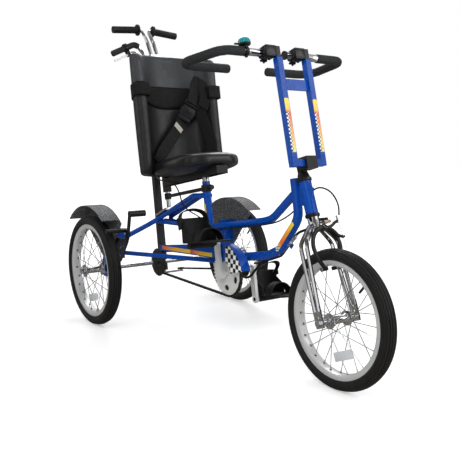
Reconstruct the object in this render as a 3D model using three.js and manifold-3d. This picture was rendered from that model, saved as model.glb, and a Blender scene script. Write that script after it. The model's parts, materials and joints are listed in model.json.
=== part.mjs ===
// Adaptive tricycle with a rear steering handle, in millimetres.
// +X points forwards, +Y to the rider's left and +Z up. The machine is built about the ground point
// under the rear axle, and the finished group is moved so that the origin is where the front tyre
// meets the ground.
import * as THREE from "three";
import { mergeVertices } from "three/addons/utils/BufferGeometryUtils.js";
import Module from "manifold-3d";

const wasm = await Module();
wasm.setup();

// Angles in the sizes are in degrees and turned into radians by this.
const DEG = Math.PI / 180;

// Gaps between pieces that touch on the real machine, and how far cutting tools run past a surface.
const fit = { gap: 0.3, overrun: 2 };

// Sides of round bars and holes.
const sides = { large: 14, medium: 10, small: 8, nut: 6, disc: 32 };

// Three alike 16 inch wheels.
const wheel = {
  radius: 199, base: 923, track: 642, tyreWidth: 47, treadFlat: 16, treadDrop: 4, shoulderY: 17,
  shoulderRadius: 188, sidewallRadius: 176, beadWidth: 34, rimRadius: 165, rimWidth: 33, rimDepth: 14,
  rimBevel: 4, segments: 36, hubLength: 82, hubRadius: 13, flangeRadius: 22, flangeThickness: 3,
  flangeSpacing: 66, spokes: 28, spokeRadius: 1.1, spokeSides: 3, spokeLean: 49, spokeSeat: 1,
  spokeOffset: 1.7, hubSides: 12,
};

// Head tube and steering axis.
const steering = {
  lean: 22.2, rake: 6, tubeRadius: 18.5, tubeBore: 15.7, lowerHeight: 479, length: 97, steererRadius: 12.5,
  cupRadius: 20, cupHeight: 9, nutRadius: 20, stackHeight: 27, stackRadius: 15,
};
const fork = {
  neckDrop: 42, neckRadius: 17, overlap: 4, steererRise: 27, quillDepth: 46, tubeRadius: 6.35,
  plateRise: 46, plateBelow: 14, plateWidth: 30, plateThickness: 5, plateY: 69, plateHoles: 2,
  firstHole: 15, holePitch: 15, holeRadius: 4, footSpread: 8, shoulderDrop: 84, shoulderY: 60,
  legForward: 1.2, legSpread: 13, archDrop: 32, archSpread: 8, archY: 14, bendRadius: 40, axleRadius: 5,
  nutRadius: 9, nutLength: 8, spacerRadius: 8, tipRoot: 2,
};

// Bottom bracket, cranks, sprockets and chain.
const crank = {
  x: 448, height: 243, length: 102, lean: 12, shellRadius: 20, shellLength: 68, axleRadius: 8,
  armWidth: 22, armThickness: 11, bossRadius: 17, tipRadius: 13, rightGap: 66, leftGap: 58, rightBoss: 58,
  neckLength: 30, neckWidth: 26, saddleWall: 3,
};
const chainset = {
  line: 42, pitch: 12.7, ringTeeth: 38, cogTeeth: 20, ringThickness: 3, linkHeight: 4.2, linkWidth: 7,
  windowRadius: 13, windows: 5, windowPlace: 50, cogHubRadius: 16, cogHubLength: 26, cogThickness: 3,
  discRadius: 54, discThickness: 3, discLine: 54, steps: 12,
};
const pedal = {
  axleRadius: 6, inset: 9, plateLength: 190, plateWidth: 95, plateThickness: 5, plateRearShare: 0.32,
  plateLift: 13, keelRadius: 11, cornerRadius: 30, cornerShare: 0.29, toeUp: 9.7, cupLength: 84,
  cupHeight: 82, cupWall: 4, cupSlope: 35, strapStart: 30, strapWidth: 34, strapRise: 46, strapWall: 3,
  strapSides: 24, strapOverrun: 3,
};
const guard = {
  line: 60, thickness: 2, rimX: 452, rimHeight: 235, rimRadius: 108, rimStart: 97, rimEnd: 19,
  rimReach: 35, innerRadius: 45, innerStart: 10, innerEnd: 100, tailX: 24, tailTop: 271, tailBottom: 251,
  barX: 400, barBottom: 287, lugX: 521, lugHeight: 306, lugRadius: 5, steps: 12,
};

// Frame tubes.
const tubes = {
  main: 14.3, seat: 14.3, top: 12.7, stay: 9.5, middleStay: 8, lowerStay: 8, bendRadius: 55,
  topBendRadius: 90, stayBend: 40, uprightTopX: 720.6, uprightTop: 575.6, uprightFootX: 746,
  uprightFoot: 463, elbowX: 671, elbowHeight: 357, lowElbowX: 605, lowElbowHeight: 325,
  seatFootHeight: 262, seatLean: 11.5, seatTopX: 247.7, seatTop: 529.6, topTubeDrop: 163, topElbowX: 590,
  topElbowHeight: 433, topKneeX: 625, topKneeHeight: 444, topTubeHeight: 528, webThickness: 6, webTop: 556,
  webBottom: 500, upperStayDrop: 50, middleStayDrop: 162,
};
const rear = {
  stayRootY: 12, kneeX: 195, kneeY: 18, kneeHeight: 475, collarX: -80, collarY: 22.6, collarHeight: 348,
  stayEndY: 242, upperEndHeight: 284, stayRunIn: 16, stayRise: 12, lowerStartX: 345, lowerStartHeight: 262,
  lowerEndY: 236, lowerEndHeight: 258, lowerRunIn: 26, plateY: 272, plateThickness: 5, faceX: 31,
  faceWidth: 60, faceTop: 350, faceBottom: 238, plateFront: 22, plateBottom: 172, plateTop: 226,
  bearingRadius: 22, bearingLength: 10, bearingNeck: 13, axleRadius: 7.5, axleNutRadius: 11,
  axleNutLength: 7,
};

// Post behind the seat, the steering shaft inside it and the bar on the shaft.
const post = {
  lean: 10.4, footX: -50, footHeight: 152, side: 25, wall: 2.2, topHeight: 985, shaftRadius: 8,
  collarRadius: 12, armLength: 80, armWidth: 16, armThickness: 6, armDrop: 7, pinRadius: 3, pinRise: 14,
};
const tiller = {
  radius: 8, foamRadius: 12.5, rootRise: 12, kneeY: 38, kneeRise: 55, crestY: 81, crestRise: 36, endY: 141,
  endRise: 8, bendRadius: 22, clampRadius: 17, clampWidth: 12, clampY: 84, bracketDrop: 16,
  bracketDepth: 18, leverLength: 66, leverWidth: 9, leverThickness: 5, leverPin: 2.5, foamStartShare: 0.1,
};
const handle = {
  blockDepth: 24, blockWidth: 42, blockHeight: 28, tubeRadius: 7, spacing: 13, riseX: -133,
  riseHeight: 996, kneeX: -160, kneeHeight: 1040, bendX: -205, gripHeight: 1093, gripStart: 17,
  gripEnd: 136, gripDrop: 10, gripRadius: 13.5, flangeRadius: 22, flangeThickness: 5, bendRadius: 15,
  columnCap: 3,
};

// Seat, its rail and column, the strut behind it and the cushions, in the frame of the seat tube.
const seat = {
  postRadius: 12.5, postInside: 130, postRoom: 205, postSocket: 20, railBottom: 15, railTop: 43,
  railWidth: 46, railWall: 3, railRear: -270, railFront: 108, columnX: -278, columnSide: 25,
  columnFoot: -7, columnTop: 500, strutRadius: 8.5, strutTop: 60, strutSpare: 4, bracketThickness: 8,
  bracketWidth: 66, bracketFront: 30, clampTop: -12, clampHeight: 24, clampRadius: 19, braceWidth: 14,
  braceHeight: 12, eyeRadius: 13, knobRadius: 9, knobReach: 18,
};
const cushion = {
  bottom: 43.3, thickness: 53, rearA: 83, rearB: 124, centreX: -135, widestX: -30, widest: 125, kneeX: 50,
  knee: 112, shoulderX: 83, shoulder: 84, front: 100, frontShare: 0.55, crown: 7, noseDrop: 6, edge: 9,
  drawn: 3, samples: 6,
};

// Insets, in edges and in drawn-in depths, and shares of the height and the crown, from the base up.
const cushionLevelShares = [
  [1, 0, 0, 0], [0, 1, 0.08, 0], [0, 0, 0.22, 0], [0, 0, 0.38, 0], [0, 1, 0.46, 0], [0, 0, 0.54, 0],
  [0, 0, 0.72, 0], [0.3, 0, 0.88, 0.5], [1, 0, 0.97, 1], [2, 0, 1, 1], [4, 0, 1, 1], [7, 0, 1, 1],
  [10, 0, 1, 1],
];
const crownedEdges = 3;
const backrest = {
  rearA: 130, rearB: 175, centreX: -135, tipX: -112, thickness: 42, bottom: 43.6, top: 515, sideTop: 489,
  tipTop: 462, tipBottom: 62, crown: 5, edge: 12, stations: 11, tipRound: 16, wingShares: [0.35, 0.7, 1],
  bulgeShares: [0.8, 0.62, 0.5, 0.38, 0.2], cornerShare: 0.3, creaseShare: 2.5, nearTipShare: 0.9,
  fullnessShare: 0.7,
};

// Columns and loop bars of the handlebar.
const column = {
  lean: 15.9, footX: 778.5, footHeight: 614, spacing: 108, side: 20, top: 918.6, plateBottom: 828,
  plateHeight: 32, plateThickness: 4, stemSide: 15.4, stemInside: 110, stemRise: 32, boreSpare: 30,
};
const stem = {
  radius: 10.8, collarRadius: 14, reachHeight: 26, clampDepth: 38, clampWidth: 40, clampHeight: 36,
};
const bar = {
  rise: 17, setback: 19.5, radius: 11.1, foamRadius: 14.5, clampWidth: 36, clampFront: 8, clampRear: 37,
  clampHeight: 32, boltSpread: 13, boltRadius: 3, boltHeight: 5, innerRight: 60, innerLeft: -3,
  frontCornerY: 226, rearCornerY: 258, depth: 188, tilt: 9.4, gripEndY: 74, endWall: 3, cornerRadius: 46,
  bendSteps: 4, capRadius: 11.3, capLength: 5, foamStartRight: 157, foamStartLeft: 112,
};
const bell = {
  y: 150, radius: 18, height: 22, wallShare: 0.45, crownShare: 0.5, lift: 6.5, neckRadius: 7,
  bandWidth: 10, bandWall: 2.5, slotHeight: 4, coreShare: 0.4, leverLength: 26, leverWidth: 8,
};

// Rim brake in front of the fork crown, in the frame of the steering axis.
const caliper = {
  drop: 47, forward: 23, thickness: 7, bossRadius: 10, boltRadius: 4, nutRadius: 7, nutLength: 5,
  kneeDrop: 88, kneeY: 42, ankleLift: 24, ankleY: 39, armWidth: 11, padHeight: 349, padLift: -2,
  padThickness: 9, padDepth: 11, padLength: 26, rimClearance: 3, hornLift: 16, hornDrop: 13, hornY: 58,
  hornWidth: 10, eyeInset: 5, eyeRadius: 1.8,
};

// Fenders, parking brake and the push-pull steering link.
const fender = {
  sideY: 277.5, thickness: 3, radius: 236, flangeWidth: 67, plateStart: 52, plateEnd: 137, flangeStart: 57,
  flangeEnd: 134, footX: 14, footHeight: 246, footWidth: 44, steps: 12,
};
const parking = {
  plateFrontX: 33.9, plateTop: 330, plateBottom: 215, lowX: 60, lowHeight: 205, noseX: 124,
  noseHeight: 251, tipX: 178, tipFoot: 326, tipTop: 357, finger: 157, fingerFoot: 334, plateThickness: 4,
  plateGap: 0.3, leverX: 166, leverHeight: 346, pivotRadius: 5, shoeX: 148, shoeHeight: 362, shoeRadius: 8,
  shoeEndY: 338, armThickness: 5, armWidth: 16, gripX: 180, gripHeight: 422, gripLength: 60,
  gripRadius: 11,
  holes: [[60, 300, 9], [60, 262, 9], [60, 232, 8], [88, 282, 10], [92, 252, 9], [118, 302, 9],
    [116, 276, 9], [142, 312, 8]],
};
const link = {
  armDrop: 17.5, armForward: 6, armY: 45, armThickness: 7, armWidth: 14, pinRadius: 3, pinRise: 13,
  eyeHeight: 8, eyeWall: 5, frontSlotX: 1.6, frontSlotY: 8, rearSlotX: 0.9, rearSlotY: 4.2, slotSpare: 0.7,
  rodRadius: 3.6, wireRadius: 1.6, frontRod: 34, rearRod: 220, wireGap: 27, wireInside: 34, boreDepth: 62,
  conduitRadius: 4.2, straight: 70, midX: 620, midHeight: 322, lowX: 520, lowHeight: 283, underX: 448,
  underHeight: 209, wheelX: 340, wheelHeight: 232, insideY: 44, clipRadius: 3,
};
const spring = {
  curls: 10, coilRadius: 5, wireRadius: 1.1, stepsPerCurl: 8, sides: 5, rearX: 711, rearHeight: 375,
  rearY: -7.2, frontX: 776, frontHeight: 414, frontY: -34, tabThickness: 4, tabWidth: 16,
  tabRoot: [700, 387], tabEnd: [722, 371],
};

// Colours, roughness and metalness of each finish.
const finishes = {
  paint: { color: 0x0d35a8, roughness: 0.28, metalness: 0.25 },
  chrome: { color: 0xd8dadc, roughness: 0.15, metalness: 1 },
  alloy: { color: 0xc6c8ca, roughness: 0.35, metalness: 0.9 },
  black_steel: { color: 0x17181a, roughness: 0.4, metalness: 0.4 },
  rubber: { color: 0x1b1b1c, roughness: 0.85, metalness: 0 },
  plastic: { color: 0x202123, roughness: 0.55, metalness: 0 },
  moulded: { color: 0x4a4c4d, roughness: 0.8, metalness: 0 },
  vinyl: { color: 0x2a2b2d, roughness: 0.45, metalness: 0 },
  foam: { color: 0x46474b, roughness: 0.9, metalness: 0 },
  teal: { color: 0x13aab0, roughness: 0.25, metalness: 0.4 },
  oiled: { color: 0x4b463f, roughness: 0.5, metalness: 0.8 },
};

const Y = new THREE.Vector3(0, 1, 0);
const at = (x, y, z) => new THREE.Vector3(x, y, z);

// A closed solid from a geometry.
function solid(geometry) {
  const bare = geometry.clone();
  bare.deleteAttribute("normal");
  bare.deleteAttribute("uv");
  const merged = mergeVertices(bare, 1e-4);
  return new wasm.Manifold(new wasm.Mesh({
    numProp: 3,
    vertProperties: Float32Array.from(merged.attributes.position.array),
    triVerts: Uint32Array.from(merged.index.array),
  }));
}

const join = (...parts) => parts.reduce((whole, part) => whole.add(part));
const cut = (body, ...tools) => tools.reduce((rest, tool) => rest.subtract(tool), body);

// A line of points that is sampled exactly at its own points.
class Route extends THREE.Curve {
  constructor(points) {
    super();
    this.points = points;
  }

  getPoint(share) {
    const place = share * (this.points.length - 1);
    const first = Math.min(Math.floor(place), this.points.length - 2);
    return this.points[first].clone().lerp(this.points[first + 1], place - first);
  }

  getPointAt(share) {
    return this.getPoint(share);
  }

  getSpacedPoints() {
    return this.points.map((point) => point.clone());
  }

  getTangentAt(share) {
    const last = this.points.length - 1;
    const index = Math.round(share * last);
    const here = this.points[index];
    const incoming = here.clone().sub(this.points[Math.max(index - 1, 0)]).normalize();
    const outgoing = this.points[Math.min(index + 1, last)].clone().sub(here).normalize();
    return incoming.add(outgoing).normalize();
  }
}

// Replaces each corner of a line of points by an arc.
function rounded(points, radius, steps = 3) {
  const result = [points[0]];
  for (let index = 1; index < points.length - 1; index += 1) {
    const corner = points[index];
    const inward = points[index - 1].clone().sub(corner);
    const outward = points[index + 1].clone().sub(corner);
    const half = inward.angleTo(outward) / 2;
    const room = Math.min(inward.length(), outward.length()) / 2 - fit.gap;
    const reach = Math.min(radius / Math.tan(half), room);
    const start = inward.clone().setLength(reach);
    const end = outward.clone().setLength(reach);
    const middle = start.clone().add(end).setLength(reach / Math.cos(half));
    const centre = corner.clone().add(middle);
    const from = corner.clone().add(start).sub(centre);
    const to = corner.clone().add(end).sub(centre);
    const axis = from.clone().cross(to).normalize();
    const angle = from.angleTo(to);
    for (let step = 0; step <= steps; step += 1) {
      result.push(from.clone().applyAxisAngle(axis, (angle * step) / steps).add(centre));
    }
  }
  result.push(points[points.length - 1]);
  return result;
}

// A round bar along a line of points.
function sweep(points, radius, count = sides.small) {
  const corners = [];
  for (let index = 0; index < count; index += 1) {
    const angle = (2 * Math.PI * (index + 0.5)) / count;
    corners.push(new THREE.Vector2(radius * Math.cos(angle), radius * Math.sin(angle)));
  }
  const settings = { steps: points.length - 1, extrudePath: new Route(points) };
  return solid(new THREE.ExtrudeGeometry(new THREE.Shape(corners), settings));
}

// A straight round bar between two points, tapered when a second radius is given.
function rod(from, to, radius, count = sides.medium, endRadius = radius) {
  const along = to.clone().sub(from);
  const geometry = new THREE.CylinderGeometry(endRadius, radius, along.length(), count);
  geometry.rotateY(Math.PI / count);
  geometry.applyQuaternion(new THREE.Quaternion().setFromUnitVectors(Y, along.clone().normalize()));
  const middle = from.clone().add(to).multiplyScalar(0.5);
  return solid(geometry.translate(middle.x, middle.y, middle.z));
}

// A round bar along Y at a point of the XZ plane.
const crossRod = (x, z, fromY, toY, radius, count) => rod(at(x, fromY, z), at(x, toY, z), radius, count);

// Corner radius of a faceted hole that clears a round bar.
const clear = (radius, count = sides.small) => (radius + fit.gap) / Math.cos(Math.PI / count);

// A box from its centre and size, turned about Y by an angle in degrees.
function block(centre, size, turn = 0) {
  const geometry = new THREE.BoxGeometry(...size);
  return solid(geometry.rotateY(turn * DEG).translate(centre.x, centre.y, centre.z));
}

const outlineShape = (corners) => new THREE.Shape(corners.map(([across,
  along]) => new THREE.Vector2(across, along)));

// A plate whose outline lies in the XZ plane, between two values of Y.
function sidePlate(corners, fromY, toY) {
  const [low, high] = [Math.min(fromY, toY), Math.max(fromY, toY)];
  const settings = { depth: high - low, bevelEnabled: false };
  return solid(new THREE.ExtrudeGeometry(outlineShape(corners), settings).rotateX(90 * DEG).translate(0,
    high, 0));
}

// A plate whose outline lies in the XY plane, from one height to a higher one.
function flatPlate(corners, fromZ, toZ) {
  const settings = { depth: toZ - fromZ, bevelEnabled: false };
  return solid(new THREE.ExtrudeGeometry(outlineShape(corners), settings).translate(0, 0, fromZ));
}

// A turned body about an axis along Y through a point, from pairs of radius and y. A facet faces down.
function turned(profile, centre, segments = 24) {
  const points = profile.map(([radius, y]) => new THREE.Vector2(radius, y));
  const geometry = new THREE.LatheGeometry([...points, points[0].clone()], segments);
  return solid(geometry.rotateY(Math.PI / segments).translate(centre.x, centre.y, centre.z));
}

// Points on an arc in a plane, by its centre, radius and two angles in degrees.
function arc(across, along, radius, fromAngle, toAngle, steps) {
  const points = [];
  for (let step = 0; step <= steps; step += 1) {
    const angle = (fromAngle + ((toAngle - fromAngle) * step) / steps) * DEG;
    points.push([across + radius * Math.cos(angle), along + radius * Math.sin(angle)]);
  }
  return points;
}

// Outline of a strip of even width along a line of points.
function ribbon(line, width) {
  const points = line.map(([across, along]) => new THREE.Vector2(across, along));
  const last = points.length - 1;
  const offsets = points.map((point, index) => {
    const incoming = point.clone().sub(points[Math.max(index - 1, 0)]);
    const outgoing = points[Math.min(index + 1, last)].clone().sub(point);
    const first = (index > 0 ? incoming : outgoing).normalize();
    const second = (index < last ? outgoing : first.clone()).normalize();
    const middle = first.clone().add(second).normalize();
    return new THREE.Vector2(-middle.y, middle.x).multiplyScalar(width / 2 / middle.dot(first));
  });
  const left = points.map((point, index) => point.clone().add(offsets[index]));
  const right = points.map((point, index) => point.clone().sub(offsets[index]));
  return [...right, ...left.reverse()].map((point) => [point.x, point.y]);
}

const group = new THREE.Group();

// Adds a finished piece to the group under its name.
function piece(name, body, finish) {
  const mesh = body.getMesh();
  const geometry = new THREE.BufferGeometry();
  geometry.setAttribute("position", new THREE.BufferAttribute(Float32Array.from(mesh.vertProperties), 3));
  geometry.setIndex(new THREE.BufferAttribute(Uint32Array.from(mesh.triVerts), 1));
  geometry.translate(-wheel.base, 0, 0);
  geometry.computeVertexNormals();
  const result = new THREE.Mesh(geometry,
    new THREE.MeshStandardMaterial({ name: finish, ...finishes[finish] }));
  result.name = name;
  group.add(result);
}

const frontCentre = at(wheel.base, 0, wheel.radius);
const rearCentre = (side) => at(0, (side * wheel.track) / 2, wheel.radius);

// A plane leaning backwards by an angle in degrees, with distances up it, forwards of it and to the left.
function leaning(foot, lean) {
  const up = at(-Math.sin(lean * DEG), 0, Math.cos(lean * DEG));
  const ahead = at(Math.cos(lean * DEG), 0, Math.sin(lean * DEG));
  const point = (rise, forward, side) => foot.clone().addScaledVector(up, rise).addScaledVector(ahead,
    forward)
    .addScaledVector(Y, side);
  const locate = (world) => {
    const offset = world.clone().sub(foot);
    return [offset.dot(up), offset.dot(ahead)];
  };
  const box = (rise, forward, side, size) => block(point(rise, forward, side), size, -lean);
  const pin = (fromRise, toRise, forward, side, radius, count, endRadius) => rod(point(fromRise, forward,
    side),
    point(toRise, forward, side), radius, count, endRadius);
  // A body turned about the plane's rise, from pairs of radius and rise.
  const lathe = (profile, count) => {
    const points = [...profile, profile[0]].map(([radius, rise]) => new THREE.Vector2(radius, rise));
    const place = new THREE.Matrix4().makeBasis(ahead, up, Y.clone().negate()).setPosition(foot);
    return solid(new THREE.LatheGeometry(points, count).rotateY(Math.PI / count).applyMatrix4(place));
  };
  const riseTo = (height) => (height - foot.z) / Math.cos(lean * DEG);
  return { up, ahead, point, locate, box, pin, lathe, riseTo };
}

const axisX = wheel.base - steering.rake / Math.cos(steering.lean * DEG)
  - Math.tan(steering.lean * DEG) * (steering.lowerHeight - wheel.radius);
const head = leaning(at(axisX, 0, steering.lowerHeight), steering.lean);
const bars = leaning(at(column.footX, 0, column.footHeight), column.lean);
const saddle = leaning(at(tubes.seatTopX, 0, tubes.seatTop), tubes.seatLean);
const rearPost = leaning(at(post.footX, 0, post.footHeight), post.lean);

function tyre(centre) {
  const half = wheel.tyreWidth / 2;
  // The flat middle of each facet of the tread lies on the true radius.
  const tread = wheel.radius / Math.cos(Math.PI / wheel.segments);
  const leftSide = [
    [wheel.rimRadius + fit.gap, wheel.beadWidth / 2], [wheel.sidewallRadius, half],
    [wheel.shoulderRadius, wheel.shoulderY + fit.overrun], [tread - wheel.treadDrop, wheel.shoulderY],
    [tread, wheel.treadFlat / 2],
  ];
  const rightSide = leftSide.map(([radius, y]) => [radius, -y]);
  return turned([...rightSide, ...leftSide.reverse()], centre, wheel.segments);
}

function rim(centre) {
  const half = wheel.rimWidth / 2;
  const inner = wheel.rimRadius - wheel.rimDepth;
  const well = half - wheel.rimBevel * 2;
  return turned([[wheel.rimRadius, half], [inner + wheel.rimBevel, half], [inner, well], [inner, -well],
    [inner + wheel.rimBevel, -half], [wheel.rimRadius, -half]], centre, wheel.segments);
}

// Hub with leaning spokes that stop just short of the rim.
function spokedHub(centre, bore) {
  const half = wheel.hubLength / 2;
  const flange = wheel.flangeSpacing / 2;
  const thick = wheel.flangeThickness / 2;
  let body = turned([
    [bore, half], [bore, -half], [wheel.hubRadius, -half], [wheel.hubRadius, -flange - thick],
    [wheel.flangeRadius, -flange - thick], [wheel.flangeRadius, -flange + thick],
    [wheel.hubRadius, -flange + thick], [wheel.hubRadius, flange - thick], [wheel.flangeRadius,
      flange - thick],
    [wheel.flangeRadius, flange + thick], [wheel.hubRadius, flange + thick], [wheel.hubRadius, half],
  ], centre, wheel.hubSides);
  const reach = (wheel.rimRadius - wheel.rimDepth) * Math.cos(Math.PI / wheel.segments) - fit.gap * 2;
  for (let index = 0; index < wheel.spokes; index += 1) {
    const side = index % 2 ? 1 : -1;
    const lean = index % 4 < 2 ? wheel.spokeLean : -wheel.spokeLean;
    const angle = (2 * Math.PI * (index + 0.5)) / wheel.spokes;
    const start = angle + lean * DEG;
    const inner = wheel.flangeRadius - wheel.spokeSeat;
    const face = flange + Math.sign(lean) * wheel.spokeOffset;
    const from = at(inner * Math.cos(start), side * face, inner * Math.sin(start)).add(centre);
    const to = at(reach * Math.cos(angle), side * wheel.spokeSeat, reach * Math.sin(angle)).add(centre);
    body = body.add(rod(from, to, wheel.spokeRadius, wheel.spokeSides));
  }
  return body;
}

const steererTop = steering.length + fork.steererRise;

function frontFork() {
  const [axleRise, axleForward] = head.locate(frontCentre);
  let body = join(
    head.pin(-fork.neckDrop, -steering.cupHeight - fit.gap, 0, 0, fork.neckRadius, sides.large),
    head.pin(-steering.cupHeight - fork.overlap, steererTop, 0, 0, steering.steererRadius, sides.large),
    head.box(-link.armDrop, link.armForward / 2, link.armY / 2, [link.armWidth, link.armY,
      link.armThickness]),
    head.pin(-link.armDrop - link.armThickness / 2, -link.armDrop + link.armThickness / 2,
      link.armForward / 2,
      link.armY, link.armWidth / 2, sides.medium),
    head.pin(-link.armDrop, -link.armDrop - link.pinRise, link.armForward / 2, link.armY, link.pinRadius,
      sides.medium),
  );
  const holes = [];
  for (const side of [-1, 1]) {
    for (const place of [-1, 1]) {
      const route = rounded([
        head.point(axleRise + fork.plateRise - fork.plateBelow, axleForward + place * fork.footSpread,
          side * fork.plateY),
        head.point(-fork.shoulderDrop, fork.legForward + place * fork.legSpread, side * fork.shoulderY),
        head.point(-fork.archDrop, place * fork.archSpread, side * fork.archY),
        head.point(-fork.archDrop + fork.tipRoot, 0, side * fork.tipRoot),
      ], fork.bendRadius);
      body = body.add(sweep(route, fork.tubeRadius));
    }
    body = body.add(head.box(axleRise + (fork.plateRise - fork.plateBelow) / 2, axleForward,
      side * fork.plateY,
      [fork.plateWidth, fork.plateThickness, fork.plateRise + fork.plateBelow]));
  }
  for (let hole = 0; hole < fork.plateHoles; hole += 1) {
    const centre = head.point(axleRise + fork.firstHole + hole * fork.holePitch, axleForward, 0);
    holes.push(crossRod(centre.x, centre.z, -fork.plateY * 2, fork.plateY * 2, fork.holeRadius, sides.small));
  }
  holes.push(crossRod(frontCentre.x, frontCentre.z, -fork.plateY * 2, fork.plateY * 2,
    fork.axleRadius + fit.gap, sides.large));
  holes.push(head.pin(steererTop - fork.quillDepth, steererTop + fit.overrun, 0, 0, stem.radius + fit.gap,
    sides.large));
  const boltEnd = caliper.forward + caliper.thickness * 2 + fit.gap * 4;
  const bolt = join(
    rod(head.point(-caliper.drop, 0, 0), head.point(-caliper.drop, boltEnd + caliper.nutLength, 0),
      caliper.boltRadius, sides.small),
    rod(head.point(-caliper.drop, 0, 0), head.point(-caliper.drop, caliper.forward - fit.gap, 0),
      caliper.nutRadius, sides.small),
    rod(head.point(-caliper.drop, boltEnd, 0), head.point(-caliper.drop, boltEnd + caliper.nutLength, 0),
      caliper.nutRadius, sides.nut),
  );
  return cut(body.add(bolt), ...holes);
}

function frontAxle() {
  const outside = fork.plateY + fork.plateThickness / 2 + fit.gap;
  const { x, z } = frontCentre;
  const end = outside + fork.nutLength + fit.overrun;
  let body = crossRod(x, z, -end, end, fork.axleRadius, sides.large);
  for (const side of [-1, 1]) {
    body = join(body,
      crossRod(x, z, side * outside, side * (outside + fork.nutLength), fork.nutRadius, sides.nut),
      crossRod(x, z, side * (wheel.hubLength / 2 + fit.gap * 2),
        side * (fork.plateY - fork.plateThickness / 2 - fit.gap), fork.spacerRadius, sides.medium));
  }
  return body;
}

// Lower and upper races, joined by the sleeve that runs between them inside the head tube.
function headset() {
  const top = steering.length;
  const bore = clear(steering.steererRadius, sides.large);
  const sleeve = steering.tubeBore - fit.gap;
  return head.lathe([
    [bore, top + steering.stackHeight], [bore, -steering.cupHeight], [steering.cupRadius,
      -steering.cupHeight],
    [steering.cupRadius, -fit.gap], [sleeve, -fit.gap], [sleeve, top + fit.gap],
    [steering.nutRadius, top + fit.gap], [steering.nutRadius, top + steering.cupHeight],
    [steering.stackRadius, top + steering.stackHeight],
  ], sides.large);
}

const columnLength = bars.riseTo(column.top);

function columnFrame() {
  const half = column.spacing / 2;
  const plateBottom = bars.riseTo(column.plateBottom);
  const plateTop = bars.riseTo(column.plateBottom + column.plateHeight);
  const bore = column.stemSide + fit.gap * 2;
  const depth = column.stemInside + column.boreSpare;
  let body = join(
    bars.box(column.side / 2, 0, 0, [column.side, column.spacing + column.side, column.side]),
    bars.box((plateBottom + plateTop) / 2, 0, 0, [column.plateThickness, column.spacing,
      plateTop - plateBottom]),
  );
  for (const side of [-1, 1]) {
    body = body.add(bars.box(columnLength / 2, 0, side * half, [column.side, column.side, columnLength]));
  }
  for (const side of [-1, 1]) {
    body = cut(body, bars.box(columnLength - depth / 2 + fit.overrun, 0, side * half,
      [bore, bore, depth + fit.overrun * 2]));
  }
  return body;
}

function barStem() {
  const clampRise = column.side / 2;
  const passage = column.side + fit.gap * 2;
  const foot = steererTop - fork.quillDepth + fit.gap;
  const collarFoot = steering.length + steering.stackHeight + fit.gap;
  const [clampUp, clampForward] = head.locate(bars.point(clampRise, 0, 0));
  const neckTop = clampUp + stem.collarRadius / 2;
  return cut(join(
    bars.box(clampRise, 0, 0, [stem.clampDepth, stem.clampWidth, stem.clampHeight]),
    head.pin(foot, neckTop, 0, 0, stem.radius, sides.large),
    head.pin(collarFoot, neckTop, 0, 0, stem.collarRadius, sides.large),
    head.box(clampUp, clampForward / 2, 0, [clampForward, stem.collarRadius * 2, stem.reachHeight]),
  ), bars.box(clampRise, 0, 0, [passage, stem.clampWidth * 2, passage]));
}

const barRise = columnLength + bar.rise;

function barClamp(side) {
  const stemY = (side * column.spacing) / 2;
  const clampY = stemY - column.stemSide / 2 - bar.clampWidth / 2;
  const foot = columnLength - column.stemInside;
  const top = columnLength + column.stemRise;
  const middle = (bar.clampFront - bar.clampRear) / 2;
  const depth = bar.clampFront + bar.clampRear;
  let body = join(
    bars.box((foot + top) / 2, 0, stemY, [column.stemSide, column.stemSide, top - foot]),
    bars.box(barRise, middle, clampY + fit.gap, [depth, bar.clampWidth + fit.gap * 2, bar.clampHeight]),
  );
  for (const place of [-1, 1]) {
    const under = barRise - bar.clampHeight / 2;
    body = body.add(bars.pin(under - bar.boltHeight, under + bar.boltHeight, middle + place * bar.boltSpread,
      clampY, bar.boltRadius, sides.small));
  }
  return cut(body, rod(bars.point(barRise, -bar.setback, clampY - bar.clampWidth),
    bars.point(barRise, -bar.setback, clampY + bar.clampWidth), bar.radius + fit.gap, sides.large));
}

// Line of a loop bar, from its inner end round to the end of its grip.
function loopRoute(side, innerY, endY) {
  const front = bars.point(barRise, -bar.setback, 0);
  const rearX = front.x - bar.depth;
  const rearZ = front.z - bar.depth * Math.tan(bar.tilt * DEG);
  return rounded([at(front.x, side * innerY, front.z), at(front.x, side * bar.frontCornerY, front.z),
    at(rearX, side * bar.rearCornerY, rearZ), at(rearX, side * endY,
      rearZ)], bar.cornerRadius, bar.bendSteps);
}

function loopBar(side) {
  const inner = side < 0 ? bar.innerRight : bar.innerLeft;
  const route = loopRoute(side, inner, bar.gripEndY + bar.endWall);
  const cap = route[0];
  return sweep(route, bar.radius).add(crossRod(cap.x, cap.z, cap.y, cap.y - side * bar.capLength,
    bar.capRadius, sides.medium));
}

function foamGrip(side) {
  const start = side < 0 ? bar.foamStartRight : bar.foamStartLeft;
  const hollow = loopRoute(side, start - bar.foamRadius, bar.gripEndY + bar.endWall - fit.gap);
  return cut(sweep(loopRoute(side, start, bar.gripEndY), bar.foamRadius), sweep(hollow,
    bar.radius + fit.gap));
}

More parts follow.
